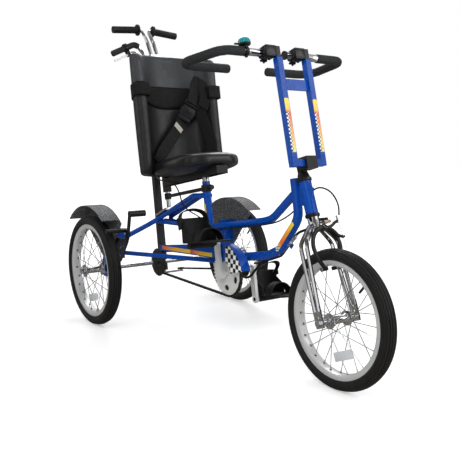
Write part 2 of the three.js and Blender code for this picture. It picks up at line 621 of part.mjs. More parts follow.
function bellPieces() {
  const foot = bar.radius + bell.lift;
  const shoulder = foot + bell.height * bell.wallShare;
  const rise = (distance) => barRise + distance;
  const core = bell.radius * bell.coreShare;
  const centre = bars.point(barRise, -bar.setback, -bell.y);
  const slot = cut(bars.pin(rise(foot), rise(foot + bell.slotHeight), -bar.setback, -bell.y,
    bell.radius * 2, sides.medium),
    bars.pin(rise(0), rise(foot * 2), -bar.setback, -bell.y, core, sides.medium));
  const dome = join(
    bars.pin(rise(foot - fit.overrun), rise(shoulder), -bar.setback, -bell.y, bell.radius, sides.medium),
    bars.pin(rise(shoulder), rise(foot + bell.height), -bar.setback, -bell.y, bell.radius, sides.medium,
      bell.radius * bell.crownShare),
    bars.pin(rise(bar.radius), rise(foot), -bar.setback, -bell.y, bell.neckRadius, sides.small),
    crossRod(centre.x, centre.z, centre.y - bell.bandWidth / 2, centre.y + bell.bandWidth / 2,
      bar.radius + bell.bandWall, sides.large),
  );
  const passage = crossRod(centre.x, centre.z, centre.y - bell.radius * 2, centre.y + bell.radius * 2,
    bar.radius + fit.gap, sides.large);
  const room = fit.gap * 2;
  const ring = cut(bars.pin(rise(foot + room), rise(foot + bell.slotHeight - room), -bar.setback, -bell.y,
    bell.radius - room, sides.medium),
  bars.pin(rise(0), rise(foot * 2), -bar.setback, -bell.y, core + room, sides.medium));
  const lever = bars.box(rise(foot + bell.slotHeight / 2), -bar.setback,
    -bell.y - core - room * 2 - bell.leverLength / 2,
    [bell.leverWidth, bell.leverLength, bell.slotHeight - room * 2]);
  return { dome: cut(dome, passage, slot), lever: ring.add(lever) };
}

// Arms of the rim brake. Both have their cable end on the left, and pulling the ends together brakes.
function caliperArm(side) {
  const forward = side > 0 ? caliper.forward : caliper.forward + caliper.thickness + fit.gap;
  const middle = forward + caliper.thickness / 2;
  const padRise = head.locate(at(wheel.base, 0, caliper.padHeight))[0] + caliper.padLift;
  const padInner = wheel.rimWidth / 2 + caliper.rimClearance;
  const hornRise = side > 0 ? -caliper.drop + caliper.hornLift : -caliper.drop - caliper.hornDrop;
  const strip = (line, width) => {
    const geometry = new THREE.ExtrudeGeometry(outlineShape(ribbon(line, width)),
      { depth: caliper.thickness, bevelEnabled: false });
    const place = new THREE.Matrix4().makeBasis(Y, head.up, head.ahead);
    return solid(geometry.applyMatrix4(place.setPosition(head.point(0, forward, 0))));
  };
  const body = join(
    rod(head.point(-caliper.drop, forward, 0), head.point(-caliper.drop, forward + caliper.thickness, 0),
      caliper.bossRadius, sides.medium),
    strip([[0, -caliper.drop], [side * caliper.kneeY, -caliper.kneeDrop],
      [side * caliper.ankleY, padRise + caliper.ankleLift],
      [side * (padInner + caliper.padThickness), padRise - caliper.padDepth / 2]], caliper.armWidth),
    strip([[0, -caliper.drop], [caliper.hornY, hornRise]], caliper.hornWidth),
    head.box(padRise, forward + caliper.thickness - caliper.padLength / 2,
      side * (padInner + caliper.padThickness / 2), [caliper.padLength, caliper.padThickness,
        caliper.padDepth]),
  );
  const bores = [
    rod(head.point(-caliper.drop, 0, 0), head.point(-caliper.drop, caliper.forward * 3, 0),
      caliper.boltRadius + fit.gap, sides.small),
    rod(head.point(hornRise - caliper.hornWidth * 2, middle, caliper.hornY - caliper.eyeInset),
      head.point(hornRise + caliper.hornWidth * 2, middle,
        caliper.hornY - caliper.eyeInset), caliper.eyeRadius, sides.nut),
  ];
  return cut(body, ...bores);
}

const seatTubeLength = saddle.riseTo(tubes.seatTop) - saddle.riseTo(tubes.seatFootHeight);

// Height of the main tube's centre line at a place between its lower elbow and the seat tube.
function mainHeight(x) {
  const foot = saddle.point(-seatTubeLength, 0, 0);
  const share = (x - foot.x) / (tubes.lowElbowX - foot.x);
  return foot.z + share * (tubes.lowElbowHeight - foot.z);
}

function frame() {
  const foot = saddle.point(-seatTubeLength, 0, 0);
  const main = sweep(rounded([
    at(tubes.uprightTopX, 0, tubes.uprightTop), at(tubes.uprightFootX, 0, tubes.uprightFoot),
    at(tubes.elbowX, 0, tubes.elbowHeight), at(tubes.lowElbowX, 0, tubes.lowElbowHeight), foot,
  ], tubes.bendRadius), tubes.main, sides.medium);
  const topTube = sweep(rounded([
    saddle.point(-tubes.topTubeDrop, 0, 0), at(tubes.topElbowX, 0, tubes.topElbowHeight),
    at(tubes.topKneeX, 0, tubes.topKneeHeight), at(tubes.uprightTopX, 0, tubes.topTubeHeight),
  ], tubes.topBendRadius), tubes.top);
  let body = join(main, topTube, rod(foot, saddle.point(0, 0, 0), tubes.seat),
    head.pin(0, steering.length, 0, 0, steering.tubeRadius, sides.large),
    block(at((tubes.uprightTopX + axisX) / 2, 0, (tubes.webTop + tubes.webBottom) / 2),
      [axisX - tubes.uprightTopX, tubes.webThickness, tubes.webTop - tubes.webBottom]),
    sidePlate(ribbon([spring.tabRoot, spring.tabEnd], spring.tabWidth), -spring.tabThickness / 2,
      spring.tabThickness / 2),
  );
  for (const side of [-1, 1]) {
    const upper = rounded([
      saddle.point(-tubes.upperStayDrop, 0, side * rear.stayRootY), at(rear.kneeX, side * rear.kneeY,
        rear.kneeHeight),
      at(rear.collarX, side * rear.collarY, rear.collarHeight),
      at(rear.faceX - rear.stayRunIn, side * rear.stayEndY, rear.upperEndHeight + rear.stayRise),
      at(rear.faceX, side * rear.stayEndY, rear.upperEndHeight),
    ], tubes.stayBend, 2);
    const middle = [saddle.point(-tubes.middleStayDrop, 0, side * rear.stayRootY),
      at(rear.collarX, side * rear.collarY, rear.collarHeight)];
    const lower = rounded([
      at(rear.lowerStartX, side * rear.stayRootY, rear.lowerStartHeight),
      at(rear.faceX - rear.lowerRunIn, side * rear.lowerEndY, rear.lowerEndHeight),
      at(rear.faceX, side * rear.lowerEndY, rear.lowerEndHeight),
    ], tubes.stayBend, 2);
    const edge = rear.faceX + rear.plateThickness / 2;
    body = join(body, sweep(upper, tubes.stay, sides.small), sweep(middle, tubes.middleStay, sides.small),
      sweep(lower, tubes.lowerStay, sides.small),
      block(at(rear.faceX, side * (rear.plateY - rear.faceWidth / 2), (rear.faceTop + rear.faceBottom) / 2),
        [rear.plateThickness, rear.faceWidth, rear.faceTop - rear.faceBottom]),
      sidePlate([[edge, rear.faceTop], [edge, rear.faceBottom], [rear.plateFront, rear.plateBottom],
        [-rear.plateFront, rear.plateBottom], [-rear.plateFront, rear.plateTop]],
      side * rear.plateY, side * (rear.plateY + rear.plateThickness)));
  }
  return cut(body,
    head.pin(-fit.overrun, steering.length + fit.overrun, 0, 0, steering.tubeBore, sides.large),
    saddle.pin(-seat.postRoom, fit.overrun, 0, 0, seat.postRadius + fit.gap),
    crossRod(0, wheel.radius, -wheel.track / 2, wheel.track / 2, rear.bearingNeck + fit.gap, sides.large));
}

function axleBearing(side) {
  const inner = rear.plateY - fit.gap - rear.bearingLength;
  const outer = rear.plateY + rear.plateThickness + fit.gap;
  return cut(join(
    crossRod(0, wheel.radius, side * inner, side * (rear.plateY - fit.gap), rear.bearingRadius, sides.large),
    crossRod(0, wheel.radius, side * inner, side * outer, rear.bearingNeck, sides.large),
  ), crossRod(0, wheel.radius, -wheel.track, wheel.track, rear.axleRadius + fit.gap, sides.large));
}

function fenderOf(side) {
  const { radius, thickness, steps } = fender;
  const panel = [...arc(0, wheel.radius, radius, fender.plateStart, fender.plateEnd, steps),
    [fender.footX - fender.footWidth / 2, fender.footHeight], [fender.footX + fender.footWidth / 2,
      fender.footHeight]];
  const flange = [...arc(0, wheel.radius, radius, fender.flangeStart, fender.flangeEnd, steps),
    ...arc(0, wheel.radius, radius - thickness, fender.flangeEnd, fender.flangeStart, steps)];
  return sidePlate(panel, side * fender.sideY, side * (fender.sideY + thickness))
    .add(sidePlate(flange, side * fender.sideY, side * (fender.sideY + fender.flangeWidth)));
}

// Crank hanger on the underside of the main tube.
function crankHanger() {
  const half = crank.neckLength / 2;
  const along = (x, y) => at(x, y, mainHeight(x));
  const tubeAt = mainHeight(crank.x);
  return cut(join(
    crossRod(crank.x, crank.height, -crank.shellLength / 2, crank.shellLength / 2, crank.shellRadius,
      sides.large),
    block(at(crank.x, 0, (crank.height + tubeAt) / 2), [crank.neckLength, crank.neckWidth,
      tubeAt - crank.height]),
    sweep([along(crank.x - half, 0), along(crank.x + half, 0)], tubes.main + fit.gap + crank.saddleWall,
      sides.medium),
  ), sweep([along(crank.x - half * 3, 0), along(crank.x + half * 3, 0)], tubes.main + fit.gap * 2,
    sides.medium),
  crossRod(crank.x, crank.height, -crank.shellLength, crank.shellLength,
    clear(crank.axleRadius, sides.medium), sides.medium));
}

const gearRadius = (teeth) => chainset.pitch / (2 * Math.sin(Math.PI / teeth));
const ringRadius = gearRadius(chainset.ringTeeth);
const cogRadius = gearRadius(chainset.cogTeeth);

// Loop round both sprockets at a distance outside their pitch circles.
function chainLoop(offset) {
  const rise = crank.height - wheel.radius;
  const slope = Math.atan2(rise, crank.x) / DEG;
  const open = Math.acos((ringRadius - cogRadius) / Math.hypot(crank.x, rise)) / DEG;
  return [
    ...arc(crank.x, crank.height, ringRadius + offset, slope - 180 + open, slope + 180 - open,
      chainset.steps * 2),
    ...arc(0, wheel.radius, cogRadius + offset, slope + 180 - open, slope + 180 + open, chainset.steps),
  ];
}

function chain() {
  const half = chainset.linkWidth / 2;
  return cut(sidePlate(chainLoop(chainset.linkHeight), -chainset.line - half, -chainset.line + half),
    sidePlate(chainLoop(0), -chainset.line - half * 2, -chainset.line + half * 2));
}

const crankPoint = (angle, distance) => [crank.x + distance * Math.sin(angle * DEG),
  crank.height + distance * Math.cos(angle * DEG)];

// The facets of a toothed disc stay inside the chain, whose inner side is faceted too.
const insideChain = (radius) => radius * Math.cos(Math.PI / (chainset.steps * 2)) - fit.gap;

function chainring() {
  const from = -chainset.line - chainset.ringThickness / 2;
  const to = -chainset.line + chainset.ringThickness / 2;
  const windows = [];
  for (let index = 0; index < chainset.windows; index += 1) {
    const [x, z] = crankPoint((360 * (index + 0.5)) / chainset.windows, chainset.windowPlace);
    windows.push(crossRod(x, z, from - fit.overrun, to + fit.overrun, chainset.windowRadius, sides.small));
  }
  return cut(crossRod(crank.x, crank.height, from, to, insideChain(ringRadius), chainset.ringTeeth),
    ...windows,
    crossRod(crank.x, crank.height, from - fit.overrun, to + fit.overrun, crank.axleRadius + fit.gap,
      sides.medium));
}

function driveSprocket() {
  const half = chainset.cogThickness / 2;
  const line = -chainset.line;
  const discEnd = -chainset.discLine - chainset.discThickness;
  return cut(join(
    crossRod(0, wheel.radius, line - half, line + half, insideChain(cogRadius), chainset.cogTeeth),
    crossRod(0, wheel.radius, discEnd, discEnd + chainset.cogHubLength, chainset.cogHubRadius, sides.large),
    crossRod(0, wheel.radius, discEnd, -chainset.discLine, chainset.discRadius, sides.disc),
  ), crossRod(0, wheel.radius, discEnd * 2, -discEnd, rear.axleRadius + fit.gap, sides.large));
}

function driveAxle() {
  const outside = wheel.track / 2 + wheel.hubLength / 2 + fit.gap * 2;
  return join(
    crossRod(0, wheel.radius, -outside - rear.axleNutLength / 2, outside + rear.axleNutLength / 2,
      rear.axleRadius, sides.large),
    crossRod(0, wheel.radius, outside, outside + rear.axleNutLength, rear.axleNutRadius, sides.nut),
    crossRod(0, wheel.radius, -outside, -outside - rear.axleNutLength, rear.axleNutRadius, sides.nut),
  );
}

// A crank with its boss. The right one carries the axle through the hanger, and the left one fits on it.
function crankArm(side) {
  const right = side < 0;
  const gap = right ? crank.rightGap : crank.leftGap;
  const bossGap = right ? crank.rightBoss : crank.leftGap;
  const angle = right ? -crank.lean : 180 - crank.lean;
  const innerY = side * gap;
  const outerY = side * (gap + crank.armThickness);
  const [tipX, tipZ] = crankPoint(angle, crank.length);
  const [middleX, middleZ] = crankPoint(angle, crank.length / 2);
  const body = join(
    block(at(middleX, (innerY + outerY) / 2, middleZ), [crank.armWidth, crank.armThickness, crank.length],
      angle),
    crossRod(crank.x, crank.height, side * bossGap, outerY, crank.bossRadius),
    crossRod(tipX, tipZ, innerY, outerY, crank.tipRadius),
  );
  const pedalHole = crossRod(tipX, tipZ, innerY - side * gap / 2, outerY + side * gap / 2,
    clear(pedal.axleRadius));
  if (right) {
    return cut(body.add(crossRod(crank.x, crank.height, side * bossGap, crank.leftGap + crank.armThickness,
      crank.axleRadius, sides.medium)), pedalHole);
  }
  return cut(body, pedalHole, crossRod(crank.x, crank.height, 0, outerY + gap, crank.axleRadius + fit.gap,
    sides.medium));
}

// Sandal foot plate with its pedal axle, heel cup and strap arch, level whatever the crank does.
function footPlate(side) {
  const right = side < 0;
  const [tipX, tipZ] = crankPoint(right ? -crank.lean : 180 - crank.lean, crank.length);
  const armInner = right ? crank.rightGap : crank.leftGap;
  const armOuter = armInner + crank.armThickness;
  const half = pedal.plateWidth / 2;
  const front = pedal.plateLength * (1 - pedal.plateRearShare);
  const heel = -pedal.plateLength * pedal.plateRearShare;
  const middleY = side * (armOuter + pedal.inset + half);
  const sole = (inset) => {
    const [a, b, c] = [heel + inset, front - inset, half - inset];
    const r = pedal.cornerRadius;
    const s = r * pedal.cornerShare;
    return [[a + r, -c], [b - r, -c], [b - s, -c + s], [b, -c + r], [b, c - r], [b - s, c - s], [b - r, c],
      [a + r, c],
      [a + s, c - s], [a, c - r], [a, -c + r], [a + s, -c + s]];
  };
  const wall = cut(flatPlate(sole(0), 0, pedal.cupHeight),
    flatPlate(sole(pedal.cupWall), pedal.plateThickness, pedal.cupHeight * 2));
  const behind = block(at(heel + pedal.cupLength / 2, 0, pedal.cupHeight / 2),
    [pedal.cupLength, pedal.plateWidth * 2, pedal.cupHeight * 2]);
  const bevel = block(at(heel + pedal.cupLength, 0, pedal.cupHeight), [pedal.cupLength, pedal.plateWidth * 2,
    pedal.cupHeight], pedal.cupSlope);
  const tube = rod(at(pedal.strapStart, 0, 0), at(pedal.strapStart + pedal.strapWidth, 0, 0), 1,
    pedal.strapSides);
  const arch = (radius, rise, stretch) => tube.translate([-pedal.strapStart, 0, 0])
    .scale([stretch, radius, rise]).translate([pedal.strapStart, 0, 0]);
  const above = block(at(pedal.strapStart, 0, pedal.strapRise), [pedal.plateLength, pedal.plateWidth * 2,
    pedal.strapRise * 2]);
  const inside = arch(half - pedal.strapWall, pedal.strapRise - pedal.strapWall, pedal.strapOverrun);
  const strap = cut(arch(half, pedal.strapRise, 1), inside).intersect(above);
  const keel = crossRod(0, -pedal.plateLift + pedal.plateThickness, -half, half, pedal.keelRadius,
    sides.medium);
  const sandal = join(flatPlate(sole(0), 0, pedal.plateThickness), cut(wall.intersect(behind), bevel),
    strap, keel);
  const place = new THREE.Matrix4().makeRotationY(-pedal.toeUp * DEG)
    .setPosition(tipX, middleY, tipZ + pedal.plateLift - pedal.plateThickness);
  return sandal.transform(place.elements).add(crossRod(tipX, tipZ, side * armInner, middleY,
    pedal.axleRadius));
}

function chainGuard() {
  const { rimX, rimHeight, rimRadius } = guard;
  const rimArc = (radius, from, to) => arc(rimX, rimHeight, radius, from, to, guard.steps);
  const plate = [[guard.tailX, guard.tailBottom], [guard.barX, guard.barBottom],
    ...arc(crank.x, crank.height, guard.innerRadius, guard.innerEnd, guard.innerStart, guard.steps),
    ...rimArc(rimRadius, guard.rimEnd, guard.rimStart), [guard.tailX, guard.tailTop]];
  const rim = [...rimArc(rimRadius, guard.rimEnd, guard.rimStart),
    ...rimArc(rimRadius - guard.thickness, guard.rimStart, guard.rimEnd)];
  const outer = -guard.line - guard.thickness;
  return join(sidePlate(plate, outer, -guard.line), sidePlate(rim, outer, outer + guard.rimReach),
    crossRod(guard.lugX, guard.lugHeight, -guard.line - guard.thickness / 2, -tubes.main - fit.gap,
      guard.lugRadius, sides.small));
}

function seatPost() {
  return saddle.pin(-seat.postInside, seat.railBottom + seat.postSocket, 0, 0, seat.postRadius);
}

// Rail under the cushion and the column behind it, which slides on the strut.
function seatFrame() {
  const height = seat.railTop - seat.railBottom;
  const length = seat.railFront - seat.railRear;
  const middle = (seat.railRear + seat.railFront) / 2;
  const rise = (seat.railBottom + seat.railTop) / 2;
  const hollow = saddle.box(rise - seat.railWall, middle, 0, [length - seat.railWall * 2,
    seat.railWidth - seat.railWall * 2, height]);
  return cut(join(
    cut(saddle.box(rise, middle, 0, [length, seat.railWidth, height]), hollow),
    saddle.pin(seat.railBottom, seat.railTop, 0, 0, seat.postRadius + fit.gap + seat.railWall),
    saddle.box((seat.columnFoot + seat.columnTop) / 2, seat.columnX, 0,
      [seat.columnSide, seat.columnSide, seat.columnTop - seat.columnFoot]),
  ), saddle.pin(-seat.postInside, seat.railBottom + seat.postSocket + fit.gap, 0, 0,
    seat.postRadius + fit.gap),
  saddle.pin(seat.columnFoot - fit.overrun, seat.strutTop + seat.strutSpare, seat.columnX, 0,
    seat.strutRadius + fit.gap));
}

// Clamp at the top of the seat tube with a brace back to the strut and a knob in front.
function seatClamp() {
  const foot = seat.clampTop - seat.clampHeight;
  const rise = (seat.clampTop + foot) / 2;
  return cut(join(
    saddle.pin(foot, seat.clampTop, 0, 0, seat.clampRadius, sides.large),
    saddle.box(rise, seat.columnX / 2, 0, [-seat.columnX, seat.braceWidth, seat.braceHeight]),
    saddle.pin(foot, seat.clampTop, seat.columnX, 0, seat.eyeRadius, sides.large),
    rod(saddle.point(rise, seat.clampRadius - fit.overrun * 2, 0), saddle.point(rise,
      seat.clampRadius + seat.knobReach,
      0), seat.knobRadius, sides.small),
  ), saddle.pin(foot * 2, fit.overrun, 0, 0, tubes.seat + fit.gap),
  saddle.pin(foot * 2, fit.overrun, seat.columnX, 0, seat.strutRadius + fit.gap));
}

// Strut that the column slides on, with the bracket that lies across the upper stays.
function backStrut() {
  const knee = at(rear.kneeX, 0, rear.kneeHeight);
  const collar = at(rear.collarX, 0, rear.collarHeight);
  const slope = Math.atan2(knee.z - collar.z, knee.x - collar.x);
  const normal = at(-Math.sin(slope), 0, Math.cos(slope));
  const along = at(Math.cos(slope), 0, Math.sin(slope));
  const axisFoot = saddle.point(0, seat.columnX, 0);
  const onStay = collar.clone().addScaledVector(normal, tubes.stay + fit.gap * 2 + seat.bracketThickness / 2);
  const drop = axisFoot.clone().sub(onStay).dot(normal) / saddle.up.dot(normal);
  const foot = axisFoot.clone().addScaledVector(saddle.up, -drop);
  const postFront = rearPost.point(rearPost.riseTo(foot.z), post.side / 2 + fit.gap * 2, 0);
  const rearEnd = postFront.clone().sub(foot).dot(along) + seat.bracketThickness * Math.tan(slope);
  const length = seat.bracketFront - rearEnd;
  const middle = foot.clone().addScaledVector(along, (seat.bracketFront + rearEnd) / 2);
  return join(rod(foot, saddle.point(seat.strutTop, seat.columnX, 0), seat.strutRadius),
    block(middle, [length, seat.bracketWidth, seat.bracketThickness], -slope / DEG));
}

// A solid skinned over rings of equal count, closed by a point at each end.
function skinned(rings, first, last) {
  const count = rings[0].length;
  const points = [...rings.flat(), first, last];
  const [start, end] = [points.length - 2, points.length - 1];
  const faces = [];
  for (let index = 0; index < count; index += 1) {
    const next = (index + 1) % count;
    faces.push(start, next, index, end, (rings.length - 1) * count + index,
      (rings.length - 1) * count + next);
    for (let level = 1; level < rings.length; level += 1) {
      const [low, high] = [(level - 1) * count, level * count];
      faces.push(low + index, low + next, high + next, low + index, high + next, high + index);
    }
  }
  const geometry = new THREE.BufferGeometry();
  const coordinates = points.flatMap((point) => [point.x, point.y, point.z]);
  geometry.setAttribute("position", new THREE.BufferAttribute(Float32Array.from(coordinates), 3));
  geometry.setIndex(faces);
  return solid(geometry);
}

// Seat cushion: half an ellipse behind, a blunt nose in front, drawn-in sides and a crowned top.
function seatCushion() {
  const { centreX, bottom, thickness, edge, front, widest } = cushion;
  const side = new THREE.SplineCurve([
    new THREE.Vector2(centreX, cushion.rearB), new THREE.Vector2(cushion.widestX, widest),
    new THREE.Vector2(cushion.kneeX, cushion.knee), new THREE.Vector2(cushion.shoulderX, cushion.shoulder),
    new THREE.Vector2(front, cushion.shoulder * cushion.frontShare), new THREE.Vector2(front, 0),
  ]).getPoints(cushion.samples * 3);
  const halfRear = arc(0, 0, 1, 180, 90, cushion.samples).slice(0, -1)
    .map(([x, y]) => [centreX + x * cushion.rearA, y * cushion.rearB]);
  const half = [...halfRear, ...side.map((point) => [Math.min(point.x, front), Math.max(point.y, 0)])];
  const outline = [...half, ...half.slice(1, -1).reverse().map(([x, y]) => [x, -y])].reverse();
  const middleX = (centreX - cushion.rearA + front) / 2;
  const shrink = ([x, y], inset) => {
    const length = Math.hypot(x - middleX, y);
    const share = Math.max(length - inset, 0) / length;
    return [middleX + (x - middleX) * share, y * share];
  };
  const crown = (x, y, inset) => {
    const across = Math.cos((Math.PI / 2) * Math.min(Math.abs(y) / widest, 1));
    const nose = Math.max(0, (x - cushion.widestX) / (front - cushion.widestX)) ** 2 * cushion.noseDrop;
    return cushion.crown * across * Math.min(inset / (edge * crownedEdges), 1) - nose;
  };
  const rings = cushionLevelShares.map(([edges, drawnIn, share, crowned]) => outline.map((corner) => {
    const inset = edges * edge + drawnIn * cushion.drawn;
    const [x, y] = shrink(corner, inset);
    return saddle.point(bottom + share * (thickness - cushion.crown) + crowned * crown(x, y, inset), x, y);
  }));
  const last = cushionLevelShares[cushionLevelShares.length - 1][0] * edge;
  return skinned(rings, saddle.point(bottom, middleX, 0),
    saddle.point(bottom + thickness - cushion.crown + crown(middleX, 0, last), middleX, 0));
}

// Back cushion wrapped round the rider: the same section along half an ellipse and two short wings.
function backCushion() {
  const { rearA, rearB, centreX, tipX, thickness, stations, edge } = backrest;
  const plan = arc(0, 0, 1, -90, 90, stations * 2).map(([x, y]) => ({
    x: centreX - x * rearA, y: y * rearB, inward: [x / rearA, -y / rearB], share: Math.abs(y),
  }));
  const wing = (side) => backrest.wingShares.map((step) => ({
    x: centreX + (tipX - centreX) * step, y: side * rearB, inward: [0, -side], share: 1 + step,
  }));
  const path = [...wing(-1).reverse(), ...plan, ...wing(1)];
  const last = path.length - 1;
  const rings = path.map(({ x, y, inward, share }, index) => {
    const length = Math.hypot(...inward);
    const [nx, ny] = inward.map((value) => value / length);
    const fromEnd = Math.min(index, last - index);
    const full = [backrest.tipRound / thickness, backrest.nearTipShare, 1][Math.min(fromEnd, 2)];
    const tip = Math.max(0, share - 1);
    const topNow = share <= 1 ? backrest.top - (backrest.top - backrest.sideTop) * share ** 3
      : backrest.sideTop - (backrest.sideTop - backrest.tipTop) * tip ** 2;
    const bottomNow = backrest.bottom + (backrest.tipBottom - backrest.bottom) * tip ** 2;
    const half = (thickness / 2) * full;
    const rise = topNow - bottomNow;
    const bulge = (part) => backrest.crown * Math.sin(Math.PI * part) ** backrest.fullnessShare;
    const corner = edge * backrest.cornerShare;
    const crease = edge * backrest.creaseShare;
    const section = [[-half + edge, 0], [-half + corner, corner], [-half, edge], [-half, rise - edge],
      [-half + corner, rise - corner], [-half + edge, rise], [half - edge, rise], [half - corner,
        rise - corner],
      [half, rise - edge], [half, rise - crease]];
    for (const part of backrest.bulgeShares) {
      section.push([half + bulge(part) * full, rise * part]);
    }
    section.push([half, crease], [half, edge], [half - corner, corner], [half - edge, 0]);
    return section.map(([across, up]) => {
      const depth = thickness / 2 + Math.max(-half, Math.min(across, half + backrest.crown));
      return saddle.point(bottomNow + up, x + nx * depth, y + ny * depth);
    });
  });
  const middleOf = (ring) => ring.reduce((sum, point) => sum.add(point), at(0, 0,
    0)).multiplyScalar(1 / ring.length);
  return skinned(rings, middleOf(rings[0]), middleOf(rings[last]));
}

// Push handle on top of the seat column.
function pushHandle() {
  const rise = seat.columnTop;
  let body = saddle.box(rise + fit.gap + handle.blockHeight / 2, seat.columnX, 0,
    [handle.blockDepth, handle.blockWidth, handle.blockHeight]);
  for (const side of [-1, 1]) {
    const start = saddle.point(rise, seat.columnX, 0);
    body = body.add(sweep(handleRoute(side, start), handle.tubeRadius, sides.small));
  }
  return body;
}

function handleRoute(side, start) {
  return rounded([
    at(start.x, side * handle.spacing, start.z + handle.blockHeight / 2),
    at(handle.riseX, side * handle.spacing, handle.riseHeight), at(handle.kneeX, side * handle.spacing,
      handle.kneeHeight), at(handle.bendX, side * handle.spacing, handle.gripHeight),
    at(handle.bendX, side * handle.gripEnd, handle.gripHeight - handle.gripDrop),
  ], handle.bendRadius);
}

// Rubber grip with a flange at its inner end, hollow for the tube and closed at its outer end.
function pushGrip(side) {
  const slope = handle.gripDrop / (handle.gripEnd - handle.spacing);
  const place = (y) => at(handle.bendX, side * y, handle.gripHeight - (y - handle.spacing) * slope);
  return cut(join(
    rod(place(handle.gripStart + handle.tubeRadius * 2), place(handle.gripEnd + handle.columnCap),
      handle.gripRadius),
    rod(place(handle.gripStart + handle.tubeRadius * 2), place(handle.gripStart + handle.tubeRadius * 2
      + handle.flangeThickness), handle.flangeRadius, sides.large),
  ), rod(place(0), place(handle.gripEnd + fit.gap), clear(handle.tubeRadius), sides.small));
}

const postTop = rearPost.riseTo(post.topHeight);

function steeringPost() {
  const inner = post.side - post.wall * 2;
  return cut(rearPost.box(postTop / 2, 0, 0, [post.side, post.side, postTop]),
    rearPost.box(postTop / 2, 0, 0, [inner, inner, postTop * 2]));
}

// Line of the hooked bar on top of the steering shaft.
function tillerRoute() {
  const point = (rise, side) => rearPost.point(postTop + rise, 0, side);
  return rounded([point(0, 0), point(tiller.rootRise, 0), point(tiller.kneeRise, -tiller.kneeY),
    point(tiller.crestRise, -tiller.crestY), point(tiller.endRise, -tiller.endY)], tiller.bendRadius);
}

// Shaft through the post with the hooked bar above and the steering arm below.
function steeringShaft() {
  const armRise = -post.armDrop - post.armThickness / 2;
  return join(
    rearPost.pin(armRise, postTop + fit.gap, 0, 0, post.shaftRadius, sides.large),
    rearPost.pin(postTop + fit.gap, postTop + tiller.rootRise / 2, 0, 0, post.collarRadius, sides.large),
    sweep(tillerRoute(), tiller.radius),
    rearPost.box(armRise, 0, post.armLength / 2, [post.armWidth, post.armLength, post.armThickness]),
    rearPost.pin(armRise - post.armThickness / 2, armRise + post.armThickness / 2, 0, 0, post.collarRadius,
      sides.large),
    rearPost.pin(armRise - post.armThickness / 2, armRise + post.armThickness / 2, 0, post.armLength,
      post.armWidth / 2, sides.medium),
    rearPost.pin(armRise, armRise + post.pinRise, 0, post.armLength, post.pinRadius, sides.medium),
  );
}

function tillerFoam() {
  const line = tillerRoute();
  const start = line.findIndex((point) => point.y < -tiller.kneeY * tiller.foamStartShare);
  const route = line.slice(start);
  const end = route[route.length - 1];
  const along = end.clone().sub(route[route.length - 2]).normalize();
  const outer = [...route.slice(0, -1), end.clone().addScaledVector(along, bar.endWall)];
  const before = route[0].clone().sub(route[1].clone().sub(route[0]).setLength(tiller.radius));
  return cut(sweep(outer, tiller.foamRadius), sweep([before, ...route.slice(0, -1),
    end.clone().addScaledVector(along, fit.gap)], clear(tiller.radius)));
}

// Clamp on the foam of the hooked bar, with the bracket that holds the brake lever under it.
function tillerClamp() {
  const line = tillerRoute();
  const [from, to] = line.slice(-2);
  const along = to.clone().sub(from).normalize();
  const share = (tiller.clampY + from.y) / (from.y - to.y);
  const centre = from.clone().lerp(to, share);
  const near = centre.clone().addScaledVector(along, -tiller.clampWidth / 2);
  const far = centre.clone().addScaledVector(along, tiller.clampWidth / 2);
  const down = rearPost.ahead.clone().cross(along);
  if (down.z > 0) {
    down.negate();
  }
  const low = centre.clone().addScaledVector(down, tiller.clampRadius + tiller.bracketDrop / 2);
  const pivot = centre.clone().addScaledVector(down,
    tiller.clampRadius + tiller.bracketDrop / 2 + fit.overrun);
  const half = tiller.bracketDepth / 2;
  const across = (radius, count, reach) => rod(pivot.clone().addScaledVector(rearPost.ahead, -reach),
    pivot.clone().addScaledVector(rearPost.ahead, reach), radius, count);
  const orient = (size, centrePoint) => {
    const geometry = new THREE.BoxGeometry(...size);
    const matrix = new THREE.Matrix4().makeBasis(along, rearPost.ahead, along.clone().cross(rearPost.ahead));
    return solid(geometry.applyMatrix4(matrix.setPosition(centrePoint)));
  };
  const slotWidth = tiller.leverThickness + fit.gap * 2;
  const slotSize = [tiller.clampWidth * 4, slotWidth, tiller.bracketDrop + fit.overrun];
  const slot = orient(slotSize, low.clone().addScaledVector(down, fit.overrun));
  const body = join(rod(near, far, tiller.clampRadius, sides.large),
    orient([tiller.clampWidth, half * 2, tiller.bracketDrop + fit.overrun * 2], low));
  const clamp = cut(body, rod(near.clone().addScaledVector(along, -half),
    far.clone().addScaledVector(along, half),
    clear(tiller.foamRadius,
      sides.large), sides.large), slot).add(across(tiller.leverPin, sides.small, half - fit.gap));
  const leverEnd = pivot.clone().addScaledVector(along, tiller.leverLength);
  const leverMiddle = pivot.clone().add(leverEnd).multiplyScalar(0.5);
  const lever = cut(join(
    orient([tiller.leverLength, tiller.leverThickness, tiller.leverWidth], leverMiddle),
    across(tiller.leverWidth / 2, sides.small, tiller.leverThickness / 2),
    rod(leverEnd.clone().addScaledVector(rearPost.ahead, -tiller.leverThickness / 2),
      leverEnd.clone().addScaledVector(rearPost.ahead,
        tiller.leverThickness / 2), tiller.leverWidth / 2, sides.medium),
  ), across(tiller.leverPin + fit.gap, sides.small, tiller.bracketDepth));
  return { clamp, lever, pivot };
}

const parkingY = -(rear.plateY - parking.plateGap);

